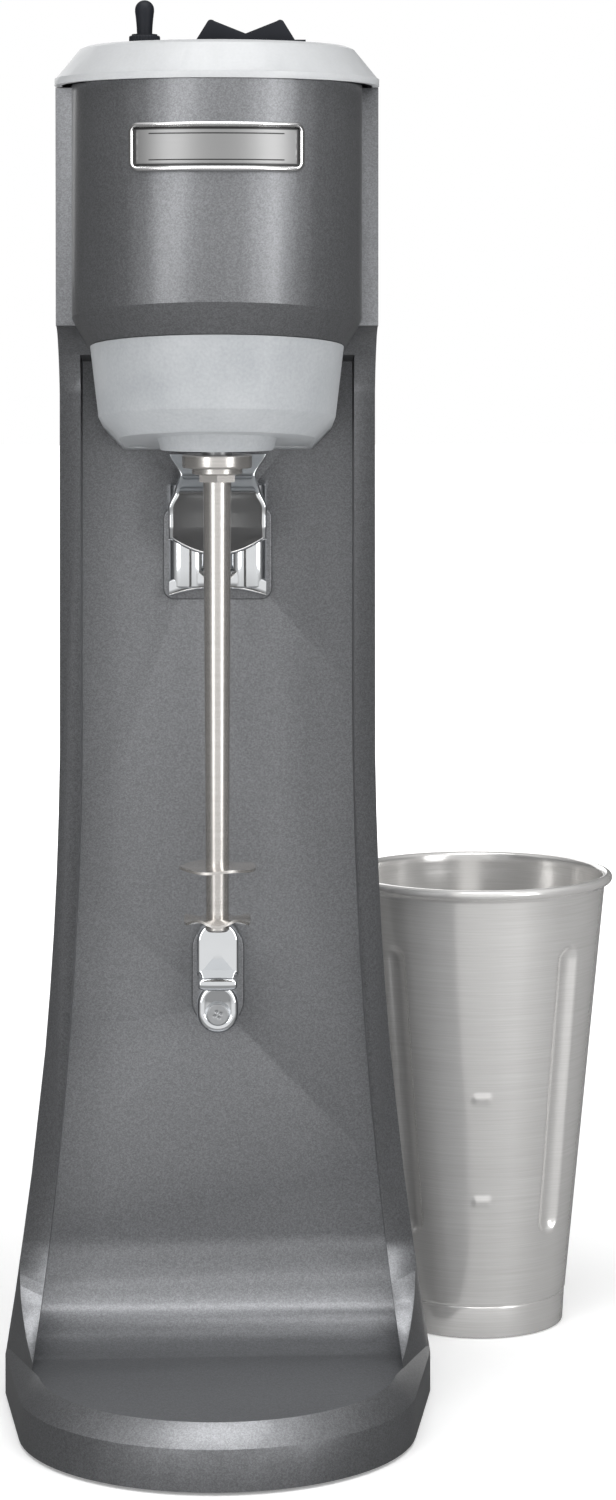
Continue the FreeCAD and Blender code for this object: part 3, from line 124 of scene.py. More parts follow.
class Finish(NodeSheet):
    """A material whose shader takes plain numbers, and wires where the surface varies."""

    def __init__(self, name, **values):
        self.material = bpy.data.materials.new(name)
        self.material.use_nodes = True
        super().__init__(self.material.node_tree)
        self.shader = self.tree.nodes["Principled BSDF"]
        self.place = self.add("ShaderNodeTexCoord", out="Object")
        self.set(**values)

    def set(self, **values):
        for title, value in values.items():
            self.plug(self.shader.inputs[title.replace("_", " ")], value)

    def noise(self, scale, detail=2.0, stretch=(1, 1, 1), about=(0, 0, 0)):
        """Noise on the piece's own metres, drawn out along an axis by a small stretch there."""
        spot = self.add("ShaderNodeMapping", None, {
            "Vector": self.place, "Location": [-a * s for a, s in zip(about, stretch)],
            "Scale": stretch})
        return self.add("ShaderNodeTexNoise", None,
                        {"Vector": spot, "Scale": scale, "Detail": detail})

    def blend(self, share, low, high):
        """The colour low where the share is zero and high where it is one."""
        return self.add("ShaderNodeMix", {"data_type": "RGBA"},
                        {0: share, 6: low, 7: high}, out=2)

    def relief(self, height, strength, depth):
        """Fine bumps on the surface; depth is the height of one bump in metres."""
        bump = self.add("ShaderNodeBump", None,
                        {"Height": height, "Strength": strength, "Distance": depth})
        self.set(Normal=bump)


def grey(level, tint=(1.0, 1.0, 1.0)):
    """A grey of one level, warmed or cooled by a tint near one."""
    return [level * t for t in tint] + [1.0]


print("a wrapped socket, a node sheet and a finish are ready")

# %% [markdown]
# ## Graphite paint
# The casting is sprayed with a metallic enamel: a dark coat full of fine bright flakes under a
# satin clear layer, with the faint orange peel that spraying leaves. Cell noise gives single
# flakes, cloudy noise gives the uneven settling of the flakes, and a wide shallow wave is the
# orange peel.


# %% Paint for the casting
def graphite_paint():
    """Half sparkle and half cloud choose between a dark and a lighter graphite."""
    paint = Finish("graphite_enamel", IOR=1.5, Coat_Roughness=0.16)
    flakes = paint.add("ShaderNodeTexVoronoi", None, {"Vector": paint.place, "Scale": 2600.0},
                       out="Color")
    sparkle = paint.ramp(paint.add("ShaderNodeSeparateColor", None, {"Color": flakes}), 0.1, 1.0)
    cloud = paint.noise(900.0, 3.0)
    shade = paint.ramp(sparkle * 0.5 + cloud * 0.5, 0.15, 0.85)
    paint.set(Base_Color=paint.blend(shade, grey(0.165, (0.965, 0.985, 1.03)),
                                     grey(0.27, (0.97, 0.99, 1.03))),
              Metallic=0.8, Roughness=0.36 + cloud * 0.08, Coat_Weight=0.2)
    orange_peel = paint.noise(300.0, 1.0)
    paint.relief(orange_peel + sparkle * 0.2, 0.035, 0.0006)
    return paint.material


print("paint for the casting is ready")

# %% [markdown]
# ## Plastics and rubber
# The cap is light moulded plastic with a semi-gloss, the shroud the same in mid grey, the switches
# and the gland are near black with a finer grain, and the foot ring is dull rubber.
# All of them share one recipe: a spark-eroded mould grain as relief, and colour that drifts by a
# few hundredths, which is what keeps a plastic from looking like paper.


# %% Moulded plastics
def moulded(name, colour, other, rough, grain, relief, coat=0.0, gloss=0.5):
    """The colour drifts to the other by 0.6 slow noise + 0.4 grain, and the grain is the relief."""
    plastic = Finish(name, Specular_IOR_Level=gloss)
    drift = plastic.noise(38.0, 3.0)
    texture = plastic.noise(grain, 2.0)
    plastic.set(Base_Color=plastic.blend(plastic.ramp(drift * 0.6 + texture * 0.4, 0.3, 0.7),
                                         colour, other),
                Roughness=rough + texture * 0.12, Coat_Weight=coat)
    plastic.relief(texture, relief, 0.0004)
    return plastic.material


print("the recipe for moulded plastics is ready")

# %% [markdown]
# ## Chrome and steels
# Bright chrome over a casting is nearly a mirror, with a little waviness left from polishing. The
# spindle is turned and polished stainless, with rings too fine to count. The cup is brushed round
# its own axis, so its scratches are long across and short up and down: noise that hardly changes
# across and changes fast with height gives them. Zinc screws and springs are the same idea with
# more haze.


# %% Metals
def plated(name, level, tint, rough, wave, wave_scale, haze=0.04):
    """A mirror; slow noise dulls it by up to 7 percent, and wider noise is the polisher's wave."""
    chrome = Finish(name, Metallic=1.0)
    breath = chrome.noise(90.0, 3.0)
    chrome.set(Base_Color=chrome.blend(breath, grey(level, tint), grey(level * 0.93, tint)),
               Roughness=rough + breath * haze)
    chrome.relief(chrome.noise(wave_scale, 1.0), wave, 0.0008)
    return chrome.material


def drawn(name, level, tint, rough, lines, stretch, strength, spread=0.12, metal=1.0):
    """Metal with fine lines across the small axes of stretch, 0.6 fine and 0.4 coarse; below 1,
    metal lets in the broad scatter of a worn or satin face."""
    steel = Finish(name, Metallic=metal)
    scratch = steel.noise(lines, 3.0, stretch)
    coarse = steel.noise(lines * 0.23, 2.0, stretch)
    haze = steel.noise(30.0, 2.0)
    mix = scratch * 0.6 + coarse * 0.4
    steel.set(Base_Color=steel.blend(steel.ramp(mix, 0.3, 0.7), grey(level * 0.84, tint),
                                     grey(level, tint)),
              Roughness=(rough - spread / 2) + mix * spread + haze * 0.06)
    steel.relief(mix, strength, 0.00025)
    return steel.material


print("the recipes for chrome and for drawn metals are ready")

# %% [markdown]
# ## A finish for every material slot
# The measured pieces name fourteen slots. Each slot gets its finish here once, and the pieces that
# need no new surface take it straight away: motor parts, bearings, screws, board and plates.

# %% Finishes by slot
finishes = {
    "graphite_paint": graphite_paint(),
    "light_plastic": moulded("pale_cap_plastic", grey(0.43, (0.98, 1.0, 1.02)),
                             grey(0.48, (0.98, 1.0, 1.02)), 0.36, 900.0, 0.05, 0.12),
    "grey_plastic": moulded("shroud_grey_plastic", grey(0.31, (0.95, 1.0, 1.05)),
                            grey(0.41, (0.97, 1.0, 1.03)), 0.34, 900.0, 0.06),
    "black_plastic": moulded("switch_black_plastic", grey(0.014, (0.9, 1.0, 1.35)),
                             grey(0.014, (0.9, 1.0, 1.3)), 0.46, 1100.0, 0.1, gloss=0.2),
    "rubber_black": moulded("foot_rubber", grey(0.02), grey(0.035), 0.62, 700.0, 0.3),
    "chrome_cast": plated("bright_chrome", 0.88, (0.98, 1.0, 1.02), 0.045, 0.05, 60.0),
    "steel_polished": drawn("turned_stainless", 0.7, (1.0, 0.965, 0.925), 0.22, 1500.0,
                            (0.02, 0.02, 1.0), 0.01, 0.05, 0.88),
    "steel_brushed": drawn("brushed_cup_steel", 0.7, (1.0, 0.985, 0.965), 0.25, 1900.0,
                           (0.012, 0.012, 1.0), 0.09),
    "steel_plain": drawn("zinc_steel", 0.55, (0.98, 1.0, 1.02), 0.38, 500.0, (1, 1, 1), 0.15),
    "silver_plate": drawn("plate_silver", 0.8, (1.0, 1.0, 1.0), 0.24, 1500.0,
                          (0.03, 0.03, 1.0), 0.05),
    "aluminium_plain": drawn("cast_aluminium", 0.6, (0.99, 1.0, 1.01), 0.42, 320.0, (1, 1, 1), 0.3),
    "copper_wire": drawn("enamelled_copper", 0.6, (1.0, 0.47, 0.25), 0.32, 1400.0,
                         (0.05, 0.05, 1.0), 0.5),
    "carbon": moulded("brush_carbon", grey(0.018), grey(0.03), 0.55, 1500.0, 0.35),
    "board_green": moulded("board_laminate", grey(0.1, (0.25, 1.0, 0.45)),
                           grey(0.13, (0.25, 1.0, 0.45)), 0.35, 500.0, 0.1, 0.3),
}
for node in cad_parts.values():
    for part_slot in node.material_slots:
        part_slot.material = finishes[part_slot.material.name.split(".")[0]]
print(len(finishes), "finishes on", len(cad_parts), "measured pieces")

# %% [markdown]
# ## Softened edges on castings and mouldings
# No cast or moulded edge is sharp: it has a radius of half a millimetre to two, and that radius
# catches the light as a thin bright line. A subdivision cage would need every piece redrawn. A
# merged copy of the measured piece with a Bevel keeps its exact size, so that is the way for the
# pieces whose outline is already right.


# %% A merged copy with rounded edges
def settle(piece, body, slot_name, nodes, finish=None):
    """Gives a piece its body, its slot, the measured pieces it stands for and its finish."""
    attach(piece, body)
    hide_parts(*nodes)
    piece.data.materials.clear()
    piece.data.materials.append(finish or finishes[slot_name])
    return piece


def softened(name, node, body, slot_name, radius, reshape=None):
    """A copy of one measured piece, its loose triangles merged and every edge that turns by more
    than 24 degrees rounded in three steps."""
    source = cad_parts[node].data
    grid = bmesh.new()
    grid.from_mesh(source)
    bmesh.ops.remove_doubles(grid, verts=grid.verts, dist=2e-6)
    bmesh.ops.dissolve_limit(grid, angle_limit=math.radians(0.6), verts=grid.verts,
                             edges=grid.edges)
    mesh = bpy.data.meshes.new(name)
    grid.to_mesh(mesh)
    grid.free()
    mesh.polygons.foreach_set("use_smooth", np.ones(len(mesh.polygons), bool))
    if reshape:
        reshape(mesh)
    piece = bpy.data.objects.new(name, mesh)
    bpy.context.scene.collection.objects.link(piece)
    edge = piece.modifiers.new("edge_radius", "BEVEL")
    edge.width, edge.segments = radius / 1000, 3
    edge.limit_method, edge.angle_limit = "ANGLE", math.radians(24)
    edge.miter_outer = "MITER_ARC"
    edge.harden_normals = True
    print(name, len(mesh.polygons), "faces before its edges are rounded")
    return settle(piece, body, slot_name, [node])


print("edges can be rounded")

# %% [markdown]
# ## The casting, the cap and the shroud
# The column's front edges fall back towards its sides, which keeps them dark beside the recess. A
# cut with a slanted tool would do it, but only the points on the edge have to move, so a sum on
# their places is shorter and keeps the outline.


# %% The flange's fall
def fall_of_flange(mesh, drop=6.0):
    """The column's front edges fall back towards the sides: points on the outer edge move back by
    drop, and by up to 10 more where the edge sweeps out to the foot, eased in above the foot and
    out below the head. The edge's half width is 59 above 268 mm and swells by (268 - z)^2 / 2960
    below."""
    spots = np.empty(len(mesh.vertices) * 3, np.float32)
    mesh.vertices.foreach_get("co", spots)
    spots = spots.reshape(-1, 3) * 1000
    x, y, z = spots.T
    edge = 59 + np.maximum(268 - z, 0) ** 2 / 2960
    outer = np.clip((np.abs(x) - edge + 2.5) / 2, 0, 1) * (y < 60)
    ease = np.clip((z - 24) / 14, 0, 1) * np.clip((398 - z) / 20, 0, 1)
    swept = np.clip((230 - z) / 100, 0, 1) * np.clip((z - 62) / 50, 0, 1)
    spots[:, 1] += (drop + 10 * swept) * outer * ease
    mesh.vertices.foreach_set("co", (spots / 1000).ravel())
    print(int((outer * ease > 0).sum()), "points of the front edges laid back")


# %% [markdown]
# Three large painted and moulded shapes come from one call each. The casting's edges were filed
# and then thickened by paint, so its radius is the largest.

# %% Large shapes
softened("casting", "housing", "mixer", "graphite_paint", 1.3, reshape=fall_of_flange)
softened("switch_cap", "top_cap", "mixer", "light_plastic", 1.1)
softened("motor_bell", "motor_shroud", "mixer", "grey_plastic", 1.2)

# %% [markdown]
# The rear cover is one large flat face with rows of slots in it. Normals shared with the small
# faces round a slot would pull dark wedges across the flat, so there each normal is weighted by
# the area of its faces, and the flat stays flat.

# %% Rear cover
cover = softened("back_cover", "rear_cover", "mixer", "graphite_paint", 0.4)
cover.modifiers["edge_radius"].harden_normals = False
even = cover.modifiers.new("even_normals", "WEIGHTED_NORMAL")
even.mode, even.weight, even.keep_sharp = "FACE_AREA", 100, True

# %% [markdown]
# ## Small mouldings
# The rocker, its frame, the lead's gland and the foot pad take finer radii in the same way.

# %% Small mouldings
softened("rocker_wings", "rocker_switch", "rocker", "black_plastic", 0.5)
softened("rocker_frame", "rocker_switch_body", "mixer", "black_plastic", 0.4)
softened("lead_gland", "cord_gland", "mixer", "black_plastic", 0.5)
softened("foot_pad", "rubber_foot_ring", "mixer", "rubber_black", 0.6)

# %% [markdown]
# ## Surfaces of revolution
# The spindle, its collar, the toggle and the cup were turned or spun, so each is a profile carried
# once round an axis. The profile's corners are first rounded by small arcs, because a turned
# corner is always broken.


# %% Profiles and skins
def broken_corners(points, radii, steps=5):
    """Each corner becomes an arc that starts and ends its cut-back away along the two sides,
    on the curve (1-t)^2 a + 2t(1-t) corner + t^2 b; a radius of zero leaves the corner."""
    out = []
    count = len(points)
    for i, (spot, radius) in enumerate(zip(np.array(points, float), radii)):
        if radius == 0 or i in (0, count - 1):
            out.append(spot[None])
            continue
        before, after = np.array(points[i - 1], float), np.array(points[i + 1], float)
        a = spot + (before - spot) / np.linalg.norm(before - spot) * radius
        b = spot + (after - spot) / np.linalg.norm(after - spot) * radius
        t = np.linspace(0, 1, steps)[:, None]
        out.append((1 - t) ** 2 * a + 2 * t * (1 - t) * spot + t**2 * b)
    return np.concatenate(out)


def skin(name, grid, angle=40):
    """A closed piece from rows of points: columns close on themselves, and the first and last
    rows are poles whose points coincide. Millimetres in, metres out."""
    rows, cols = grid.shape[:2]
    number = np.arange(rows * cols).reshape(rows, cols)
    near, far = number[:-1], number[1:]
    quads = np.stack([near, np.roll(near, -1, 1), np.roll(far, -1, 1), far], -1).reshape(-1, 4)
    mesh = bpy.data.meshes.new(name)
    mesh.from_pydata((grid.reshape(-1, 3) / 1000).tolist(), [], quads.tolist())
    shell = bmesh.new()
    shell.from_mesh(mesh)
    bmesh.ops.remove_doubles(shell, verts=shell.verts, dist=1e-6)
    bmesh.ops.recalc_face_normals(shell, faces=shell.faces)
    shell.to_mesh(mesh)
    shell.free()
    mesh.polygons.foreach_set("use_smooth", np.ones(len(mesh.polygons), bool))
    mesh.set_sharp_from_angle(angle=math.radians(angle))
    piece = bpy.data.objects.new(name, mesh)
    bpy.context.scene.collection.objects.link(piece)
    print(name, len(mesh.vertices), "points,", len(mesh.polygons), "faces")
    return piece


def carried_round(profile, centre, count=96):
    """Rows of points: (x, y, z) = centre + (r cos a, r sin a, z) for each (r, z) and angle a."""
    a = np.linspace(0, 2 * np.pi, count, endpoint=False)
    r, z = profile[:, :1], profile[:, 1:]
    return np.stack([centre[0] + r * np.cos(a), centre[1] + r * np.sin(a),
                     z + 0 * a], -1)


def middle(node):
    """A measured piece's centre and its lowest and highest corner, in millimetres."""
    low, high = (np.array(c) * 1000 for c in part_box(node))
    return (low + high) / 2, low, high


print("profiles can be carried round")

# %% [markdown]
# ## Spindle and collar
# The spindle is a ground bar that narrows a little towards the agitators, with its end chamfered.
# The collar is a turned ring with a stepped neck under it. A measured bar shows its few flat sides
# in a polish this bright, so both are carried round in fine steps instead.

# %% Spindle and collar
def finer(profile, step):
    """Adds points along a profile every step of its length, where a run from a to b has the points
    a + t (b - a), and keeps its own, so that no face on a long straight run is a sliver."""
    way = np.concatenate([[0], np.cumsum(np.hypot(*np.diff(profile, axis=0).T))])
    at = np.union1d(way, np.arange(step, way[-1], step))
    return np.stack([np.interp(at, way, profile[:, k]) for k in (0, 1)], -1)


_, spindle_low, spindle_top = middle("spindle")
bar = broken_corners([(0, spindle_low[2]), (4.15, spindle_low[2]), (5.1, 349.4),
                      (5.1, spindle_top[2]), (0, spindle_top[2])], [0, 0.6, 0, 0.3, 0])
settle(skin("spindle_bar", carried_round(finer(bar, 4.37), (0, 0))), "spindle_drive",
       "steel_polished", ["spindle"])
_, collar_low, collar_top = middle("spindle_collar")
ring = broken_corners(
    [(0, collar_low[2]), (7.8, collar_low[2]), (9.2, collar_low[2] + 0.4), (9.2, 354.4),
     (12.7, 354.4), (12.7, collar_top[2]), (5.5, collar_top[2]), (5.5, 354.4), (0, 354.4)],
    [0, 0.2, 0.15, 0.15, 0.9, 0.7, 0.15, 0, 0])
settle(skin("spindle_collar_ring", carried_round(ring, (0, 0), 128)), "spindle_drive",
       "steel_polished", ["spindle_collar"])

# %% [markdown]
# ## Toggle lever and its nut
# The toggle is a moulded bat on a ball, and the ring nut round it has coin-edge grooves. The
# grooves are a wave added to the nut's outer radius, so they are real relief.


# %% Toggle lever and ring nut
def ring_nut(centre, low, high, bore, outside, waves=28):
    """Profile of a ring; radius + depth * |cos(waves a / 2)| on the outer wall makes grooves."""
    profile = broken_corners(
        [(bore, low), (outside, low), (outside, high), (bore, high), (bore, low)],
        [0, 0.3, 0.7, 0.3, 0])
    grid = carried_round(profile, centre, waves * 8)
    a = np.linspace(0, 2 * np.pi, waves * 8, endpoint=False)
    share = np.clip((profile[:, :1] - bore) / (outside - bore), 0, 1)
    cut_in = -0.22 * share * (1 - np.abs(np.cos(waves * a / 2)))
    grid[..., 0] += cut_in * np.cos(a)
    grid[..., 1] += cut_in * np.sin(a)
    return grid


nut_middle, nut_low, nut_top = middle("toggle_ring_nut")
settle(skin("toggle_ring", ring_nut(nut_middle, nut_low[2], nut_top[2], 4.62, 5.6)), "mixer",
       "black_plastic", ["toggle_ring_nut"])
bat_middle, bat_low, bat_top = middle("toggle_lever")
pivot = bat_low[2] + 5.0
t = np.linspace(0, np.pi / 2, 12)
tip_arc = np.stack([3.45 * np.cos(t), bat_top[2] - 3.45 + 3.45 * np.sin(t)], -1)
bat = np.concatenate([
    broken_corners([(0, bat_low[2]), (1.6, bat_low[2]), (1.6, pivot - 2.6), (3.4, pivot - 1.2),
                    (3.4, pivot + 1.2), (2.75, pivot + 2.6)], [0, 0.3, 0.3, 0.4, 0.4, 0]),
    np.stack([2.75 + 0.7 * np.linspace(0, 1, 9)[1:] ** 2,
              np.linspace(pivot + 4.0, bat_top[2] - 4.2, 8)], -1), tip_arc])
settle(skin("toggle_bat", carried_round(bat, bat_middle, 64)), "toggle", "black_plastic",
       ["toggle_lever"])

# %% [markdown]
# ## Nameplate
# A pressed plate follows the drum's curve, with a rounded bead round its edge and a brushed field
# inside. Flat plates could be bent afterwards, but a grid whose rings follow the plate's outline
# keeps the bead even all round. The real plate carries a name, which is left out: a plain pressed
# line stands in for it.


# %% Nameplate surface
def plate_outline(half, tall, corner, inset, count=40):
    """Rounded rectangle: four straight sides and four quarter turns, all set in by inset."""
    r = max(corner - inset, 0.05)
    w, h = half - inset - r, tall - inset - r
    turn = np.linspace(0, np.pi / 2, 9)
    across = np.linspace(w, -w, count)[1:-1]
    up = np.linspace(-h, h, 11)[1:-1]
    quarter = [np.stack([r * np.cos(turn + k), r * np.sin(turn + k)], -1) + c for k, c in (
        (0, (w, h)), (np.pi / 2, (-w, h)), (np.pi, (-w, -h)), (3 * np.pi / 2, (w, -h)))]
    return np.concatenate([
        quarter[0], np.stack([across, np.full_like(across, h + r)], -1), quarter[1],
        np.stack([np.full_like(up, -w - r), -up], -1), quarter[2],
        np.stack([-across, np.full_like(across, -h - r)], -1), quarter[3],
        np.stack([np.full_like(up, w + r), up], -1)])


def nameplate_grid(seat, thick, bead, half, tall, corner, height):
    """Each ring is the outline set in by s and lifted to radius seat + lift(s), where lift climbs
    the edge, rounds over the bead as a half sine and falls to the field."""
    s = np.array([0.35, 0, 0, 0.15, 0.5, 0.9, 1.3, 1.7, 2.0, 2.3, 2.8, 3.3])
    lift = np.array([0, 0.3, thick - 0.3, thick + 0.35 * bead, thick + 0.85 * bead, thick + bead,
                     thick + 0.85 * bead, thick + 0.35 * bead, thick - 0.35, thick - 0.45,
                     thick - 0.3, thick - 0.3])
    rings = [plate_outline(half, tall, corner, inset) for inset in s]
    centre = rings[-1] * (1, 0)
    flat = [centre] + rings + [rings[-1] * (1, 0.5), centre]
    lift = np.concatenate([[0.0], lift, lift[-1:], lift[-1:]])
    out = []
    for ring_points, up in zip(flat, lift):
        radius = seat + up
        x, z = ring_points[:, 0], ring_points[:, 1]
        out.append(np.stack([x, -np.sqrt(radius**2 - x**2), height + z], -1))
    return np.stack(out)


print("the plate's rings are ready")

# %% [markdown]
# The plate's finish has a bright bead, a satin field with fine level lines, and a dark keyline
# where the field meets the bead. The keyline is found from the distance to the outline.


# %% Nameplate finish
def plate_finish(half, tall, height, field):
    """The distance to the outline is the smaller of half - |x| and tall - |z - height|; the bead
    lies below 2.1 mm of it, the keyline round 2.3 mm, and two short grooves at |z| = field."""
    silver = Finish("nameplate_silver", Metallic=1.0)
    across, _, up = silver.split(silver.place)
    x = silver.maths("ABSOLUTE", across)
    z = silver.maths("ABSOLUTE", up - height / 1000)
    edge = silver.maths("MINIMUM", half / 1000 - x, tall / 1000 - z)
    inside = silver.ramp(edge, 0.0021, 0.0024)
    keyline = silver.ramp(edge, 0.0017, 0.0020) * (1 - silver.ramp(edge, 0.0026, 0.0029))
    groove = silver.maths("COMPARE", z, field / 1000, 0.00022)
    short = 1 - silver.ramp(x, half / 1000 - 0.0075, half / 1000 - 0.007)
    mark = silver.maths("MAXIMUM", keyline, groove * short)
    lines = silver.noise(1500.0, 2.0, (0.02, 0.02, 1.0))
    bright = silver.blend(inside, grey(0.95), grey(0.36))
    silver.set(Base_Color=silver.blend(mark, bright, grey(0.06)),
               Roughness=0.14 + inside * 0.26 + lines * 0.06)
    silver.relief(lines * inside, 0.04, 0.0002)
    return silver.material


plate_middle, plate_low, plate_top = middle("nameplate")
plate_half, plate_tall = plate_top[0], (plate_top[2] - plate_low[2]) / 2
settle(skin("name_plate", nameplate_grid(52.7, 1.6, 0.8, plate_half, plate_tall, 3.4,
                                         plate_middle[2]), 50),
       "mixer", "silver_plate", ["nameplate"],
       plate_finish(plate_half, plate_tall, plate_middle[2], 4.6))

# %% [markdown]
# ## Pads behind the chrome
# The guide and the rest both stand on low bosses of the casting, painted with it. Each is an
# outline carried up a rounded edge, ring by ring, to a flat face.


# %% Raised pads
def pad_rings(outline, back, face, edge=0.6, crown=0.0, steps=5, shares=(1.0,)):
    """Rings of (x, z) points from the back's middle, out and up an edge of that radius, then in
    to the face's middle; outline(s) gives the ring set in by s, and y runs from back to face. The
    face swells by crown (1 - (1 - share)^2), where share is zero at its rim and one in its middle.
    """
    turn = np.linspace(0, np.pi / 2, steps)
    inset = np.concatenate([[0.0], edge * (1 - np.cos(turn))])
    share = np.array(shares)
    core = outline(edge)
    heart = core.mean(0)
    rings = [core * 0 + heart] + [outline(s) for s in inset]
    rings += [core * (1 - part) + heart * part for part in shares]
    depth = np.concatenate([[back, back], face + edge * (1 - np.sin(turn)),
                            face - crown * (1 - (1 - share) ** 2)])
    return np.stack([np.stack([r[:, 0], np.full(len(r), y), r[:, 1]], -1)
                     for r, y in zip(rings, depth)])


def boss_outline(half, low, high, corner, foot=None):
    """The outline of a raised pad, set in by s; foot is the radius of its two lower corners."""
    def outline(s):
        upper = plate_outline(half, (high - low) / 2, corner, s)
        lower = plate_outline(half, (high - low) / 2, foot or corner, s)
        return np.where(upper[:, 1:] >= 0, upper, lower) + (0, (high + low) / 2)
    return outline


_, pad_low, pad_top = middle("guide_gasket")
settle(skin("guide_boss", pad_rings(boss_outline(pad_top[0], pad_low[2], pad_top[2], 4.0),
                                    pad_top[1], pad_low[1]), 50),
       "mixer", "graphite_paint", ["guide_gasket"])
_, boss_low, boss_top = middle("rest_escutcheon")
settle(skin("rest_boss", pad_rings(boss_outline(boss_top[0], boss_low[2], boss_top[2], 9.8),
                                   boss_top[1], boss_low[1]), 50),
       "mixer", "graphite_paint", ["rest_escutcheon"])

# %% [markdown]
# ## Chrome cup guide
# The guide is a die casting: a scooped tongue that the cup's rim slides up behind, and under it
# two smooth lobes and a brim with an arched lower edge. The mirror finish shows every facet, so
# the tongue is one smooth sheet with a rolled edge, on curves for its half width and its reach.
# A sculpted cage would be as smooth, but its width could not be read off in millimetres.


# %% Guide tongue
def smooth_through(at, knots, values):
    """A smooth curve through the knots: a straight run whose share t is 0.45 t and 0.55 of the
    eased 3t^2 - 2t^3."""
    share = np.interp(at, knots, np.arange(len(knots)))
    low = np.minimum(share.astype(int), len(knots) - 2)
    t = share - low
    t = 0.45 * t + 0.55 * (3 * t**2 - 2 * t**3)
    values = np.array(values, float)
    return values[low] * (1 - t) + values[low + 1] * t


def tongue_grid(rows=84, across=41, dish=95.0):
    """Down the tongue, height falls to a lower edge that hangs lowest in the middle; across it, the
    sheet is dished on a circle of radius 95 whose middle lies at the reach, and the edge is a half
    round of radius roll that joins the front face to the back."""
    down = np.linspace(0, 1, rows)[:, None]
    s = np.linspace(-1, 1, across)
    turn = np.linspace(-np.pi / 2, np.pi / 2, 9)[1:-1]
    share = np.concatenate([s, np.ones(7), s[::-1], -np.ones(7)])
    out = np.concatenate([np.zeros(across), np.cos(turn), np.zeros(across), -np.cos(turn)])
    layer = np.concatenate([-np.ones(across), np.sin(turn), np.ones(across), -np.sin(turn)])
    top = 357.3
    tip = 318.9 + 6.4 * share[None] ** 2
    z = top - down * (top - tip)
    half = smooth_through(-z, [-357.4, -349.8, -344.0, -337.5, -318.0],
                          [17.4, 13.0, 14.2, 17.2, 17.2])
    reach = smooth_through(-z, [-357.4, -350.0, -341.0, -330.0, -318.0],
                           [52.5, 48.6, 47.0, 47.6, 51.4])
    roll = smooth_through(-z, [-357.4, -350.0, -343.0, -335.0, -318.0], [1.2, 1.3, 2.0, 1.2, 1.1])
    thick = roll * np.sqrt(np.clip(1 - np.clip((down - 0.965) / 0.035, 0, 1) ** 2, 0, 1))
    x = share * half + out * roll
    sag = np.sqrt(dish**2 - x**2) - dish
    return np.stack([x, reach + sag + layer * np.maximum(thick, 1e-4), z], -1)


def closed_ends(grid):
    """Adds a first and a last row drawn in to one point, so that both ends close."""
    ends = [np.broadcast_to(row.mean(0), row.shape)[None] for row in (grid[0], grid[-1])]
    return np.concatenate([ends[0], grid, ends[1]])


settle(skin("guide_tongue", closed_ends(tongue_grid()), 60), "mixer", "chrome_cast",
       ["cup_guide", "guide_screws"])

# %% [markdown]
# The two lobes are nearly round upright bars, and the brim ties their feet together. Cylinders
# with rounded ends would show a hard ring where the end begins, so each section is one curve
# whose width follows the height.


# %% Guide lobes and brim
def bar_grid(centre_line, half_wide, half_deep, power, count=48):
    """A bar along a line of points: each section is the curve |x/a|^p + |y/b|^p = 1 with its own
    half width a and half depth b, so a high p gives a soft square and p of 2 a round."""
    a = np.linspace(0, 2 * np.pi, count, endpoint=False)
    c, n = np.cos(a), np.sin(a)
    x = np.sign(c) * np.abs(c) ** (2 / power)
    y = np.sign(n) * np.abs(n) ** (2 / power)
    spots = np.array(centre_line, float)
    return np.stack([spots[:, :1] + np.array(half_wide)[:, None] * x,
                     spots[:, 1:2] + np.array(half_deep)[:, None] * y,
                     spots[:, 2:] + 0 * x], -1)


def capped(low, high, radius, rows=10):
    """Heights from low to high, and a share that rounds both ends off over a radius."""
    turn = np.linspace(0, np.pi / 2, rows)
    drawn_in = radius * (1 - np.cos(turn))
    z = np.concatenate([low + drawn_in, high - drawn_in[::-1]])
    share = np.concatenate([np.sin(turn), np.sin(turn[::-1])])
    return z, share


for side_name, side_of in (("left", -1), ("right", 1)):
    z, share = capped(306.0, 346.0, 1.2)
    line = np.stack([np.full_like(z, side_of * 11.6), np.full_like(z, 58.8), z], -1)
    lobe = bar_grid(line, 6.9 * (0.9 + 0.1 * share), 4.4 * (0.35 + 0.65 * share), 2.15)
    settle(skin(f"guide_lobe_{side_name}", closed_ends(lobe), 60), "mixer", "chrome_cast",
           ["cup_guide"])


def brim_grid(columns=61, count=40):
    """The brim across the foot of the guide: sections along x whose lower edge rises by
    3.2 (1 - (x/18.5)^2) in the middle and whose upper edge dips by 1.3 cos(2 pi x / 18.3)."""
    x = np.linspace(-18.3, 18.3, columns)[:, None]
    a = np.linspace(0, 2 * np.pi, count, endpoint=False)
    low = 302.9 + 3.2 * (1 - (x / 18.5) ** 2)
    high = 311.0 + 2.6 * (1 - (x / 18.5) ** 2) - 1.3 * np.cos(x / 18.3 * np.pi * 2)
    up, out = np.sin(a), np.cos(a)
    flat_up = np.sign(up) * np.abs(up) ** 0.7
    flat_out = np.sign(out) * np.abs(out) ** 0.7
    depth = 57.4 - 2.3 * flat_out + 0 * x
    return np.stack([x + 0 * a, depth, (low + high) / 2 + (high - low) / 2 * flat_up], -1)


settle(skin("guide_brim", closed_ends(brim_grid()), 60), "mixer", "chrome_cast", ["cup_guide"])

# %% [markdown]
# ## Chrome cup rest
# The rest is one small casting: a pad with a round top that the cup's wall leans on, a ledge for
# the rim, and a round lobe that a screw holds. Each is a soft block with well rounded edges, built
# from the same rings as the bosses, and the ledge is a bar carried along its reach.


# %% Cup rest
def soft_block(outline, back, face, edge, crown):
    """A raised pad with a large rounded edge and a face of several rings that crown swells."""
    return pad_rings(outline, back, face, edge, crown, 9, (0.15, 0.35, 0.6, 1.0))


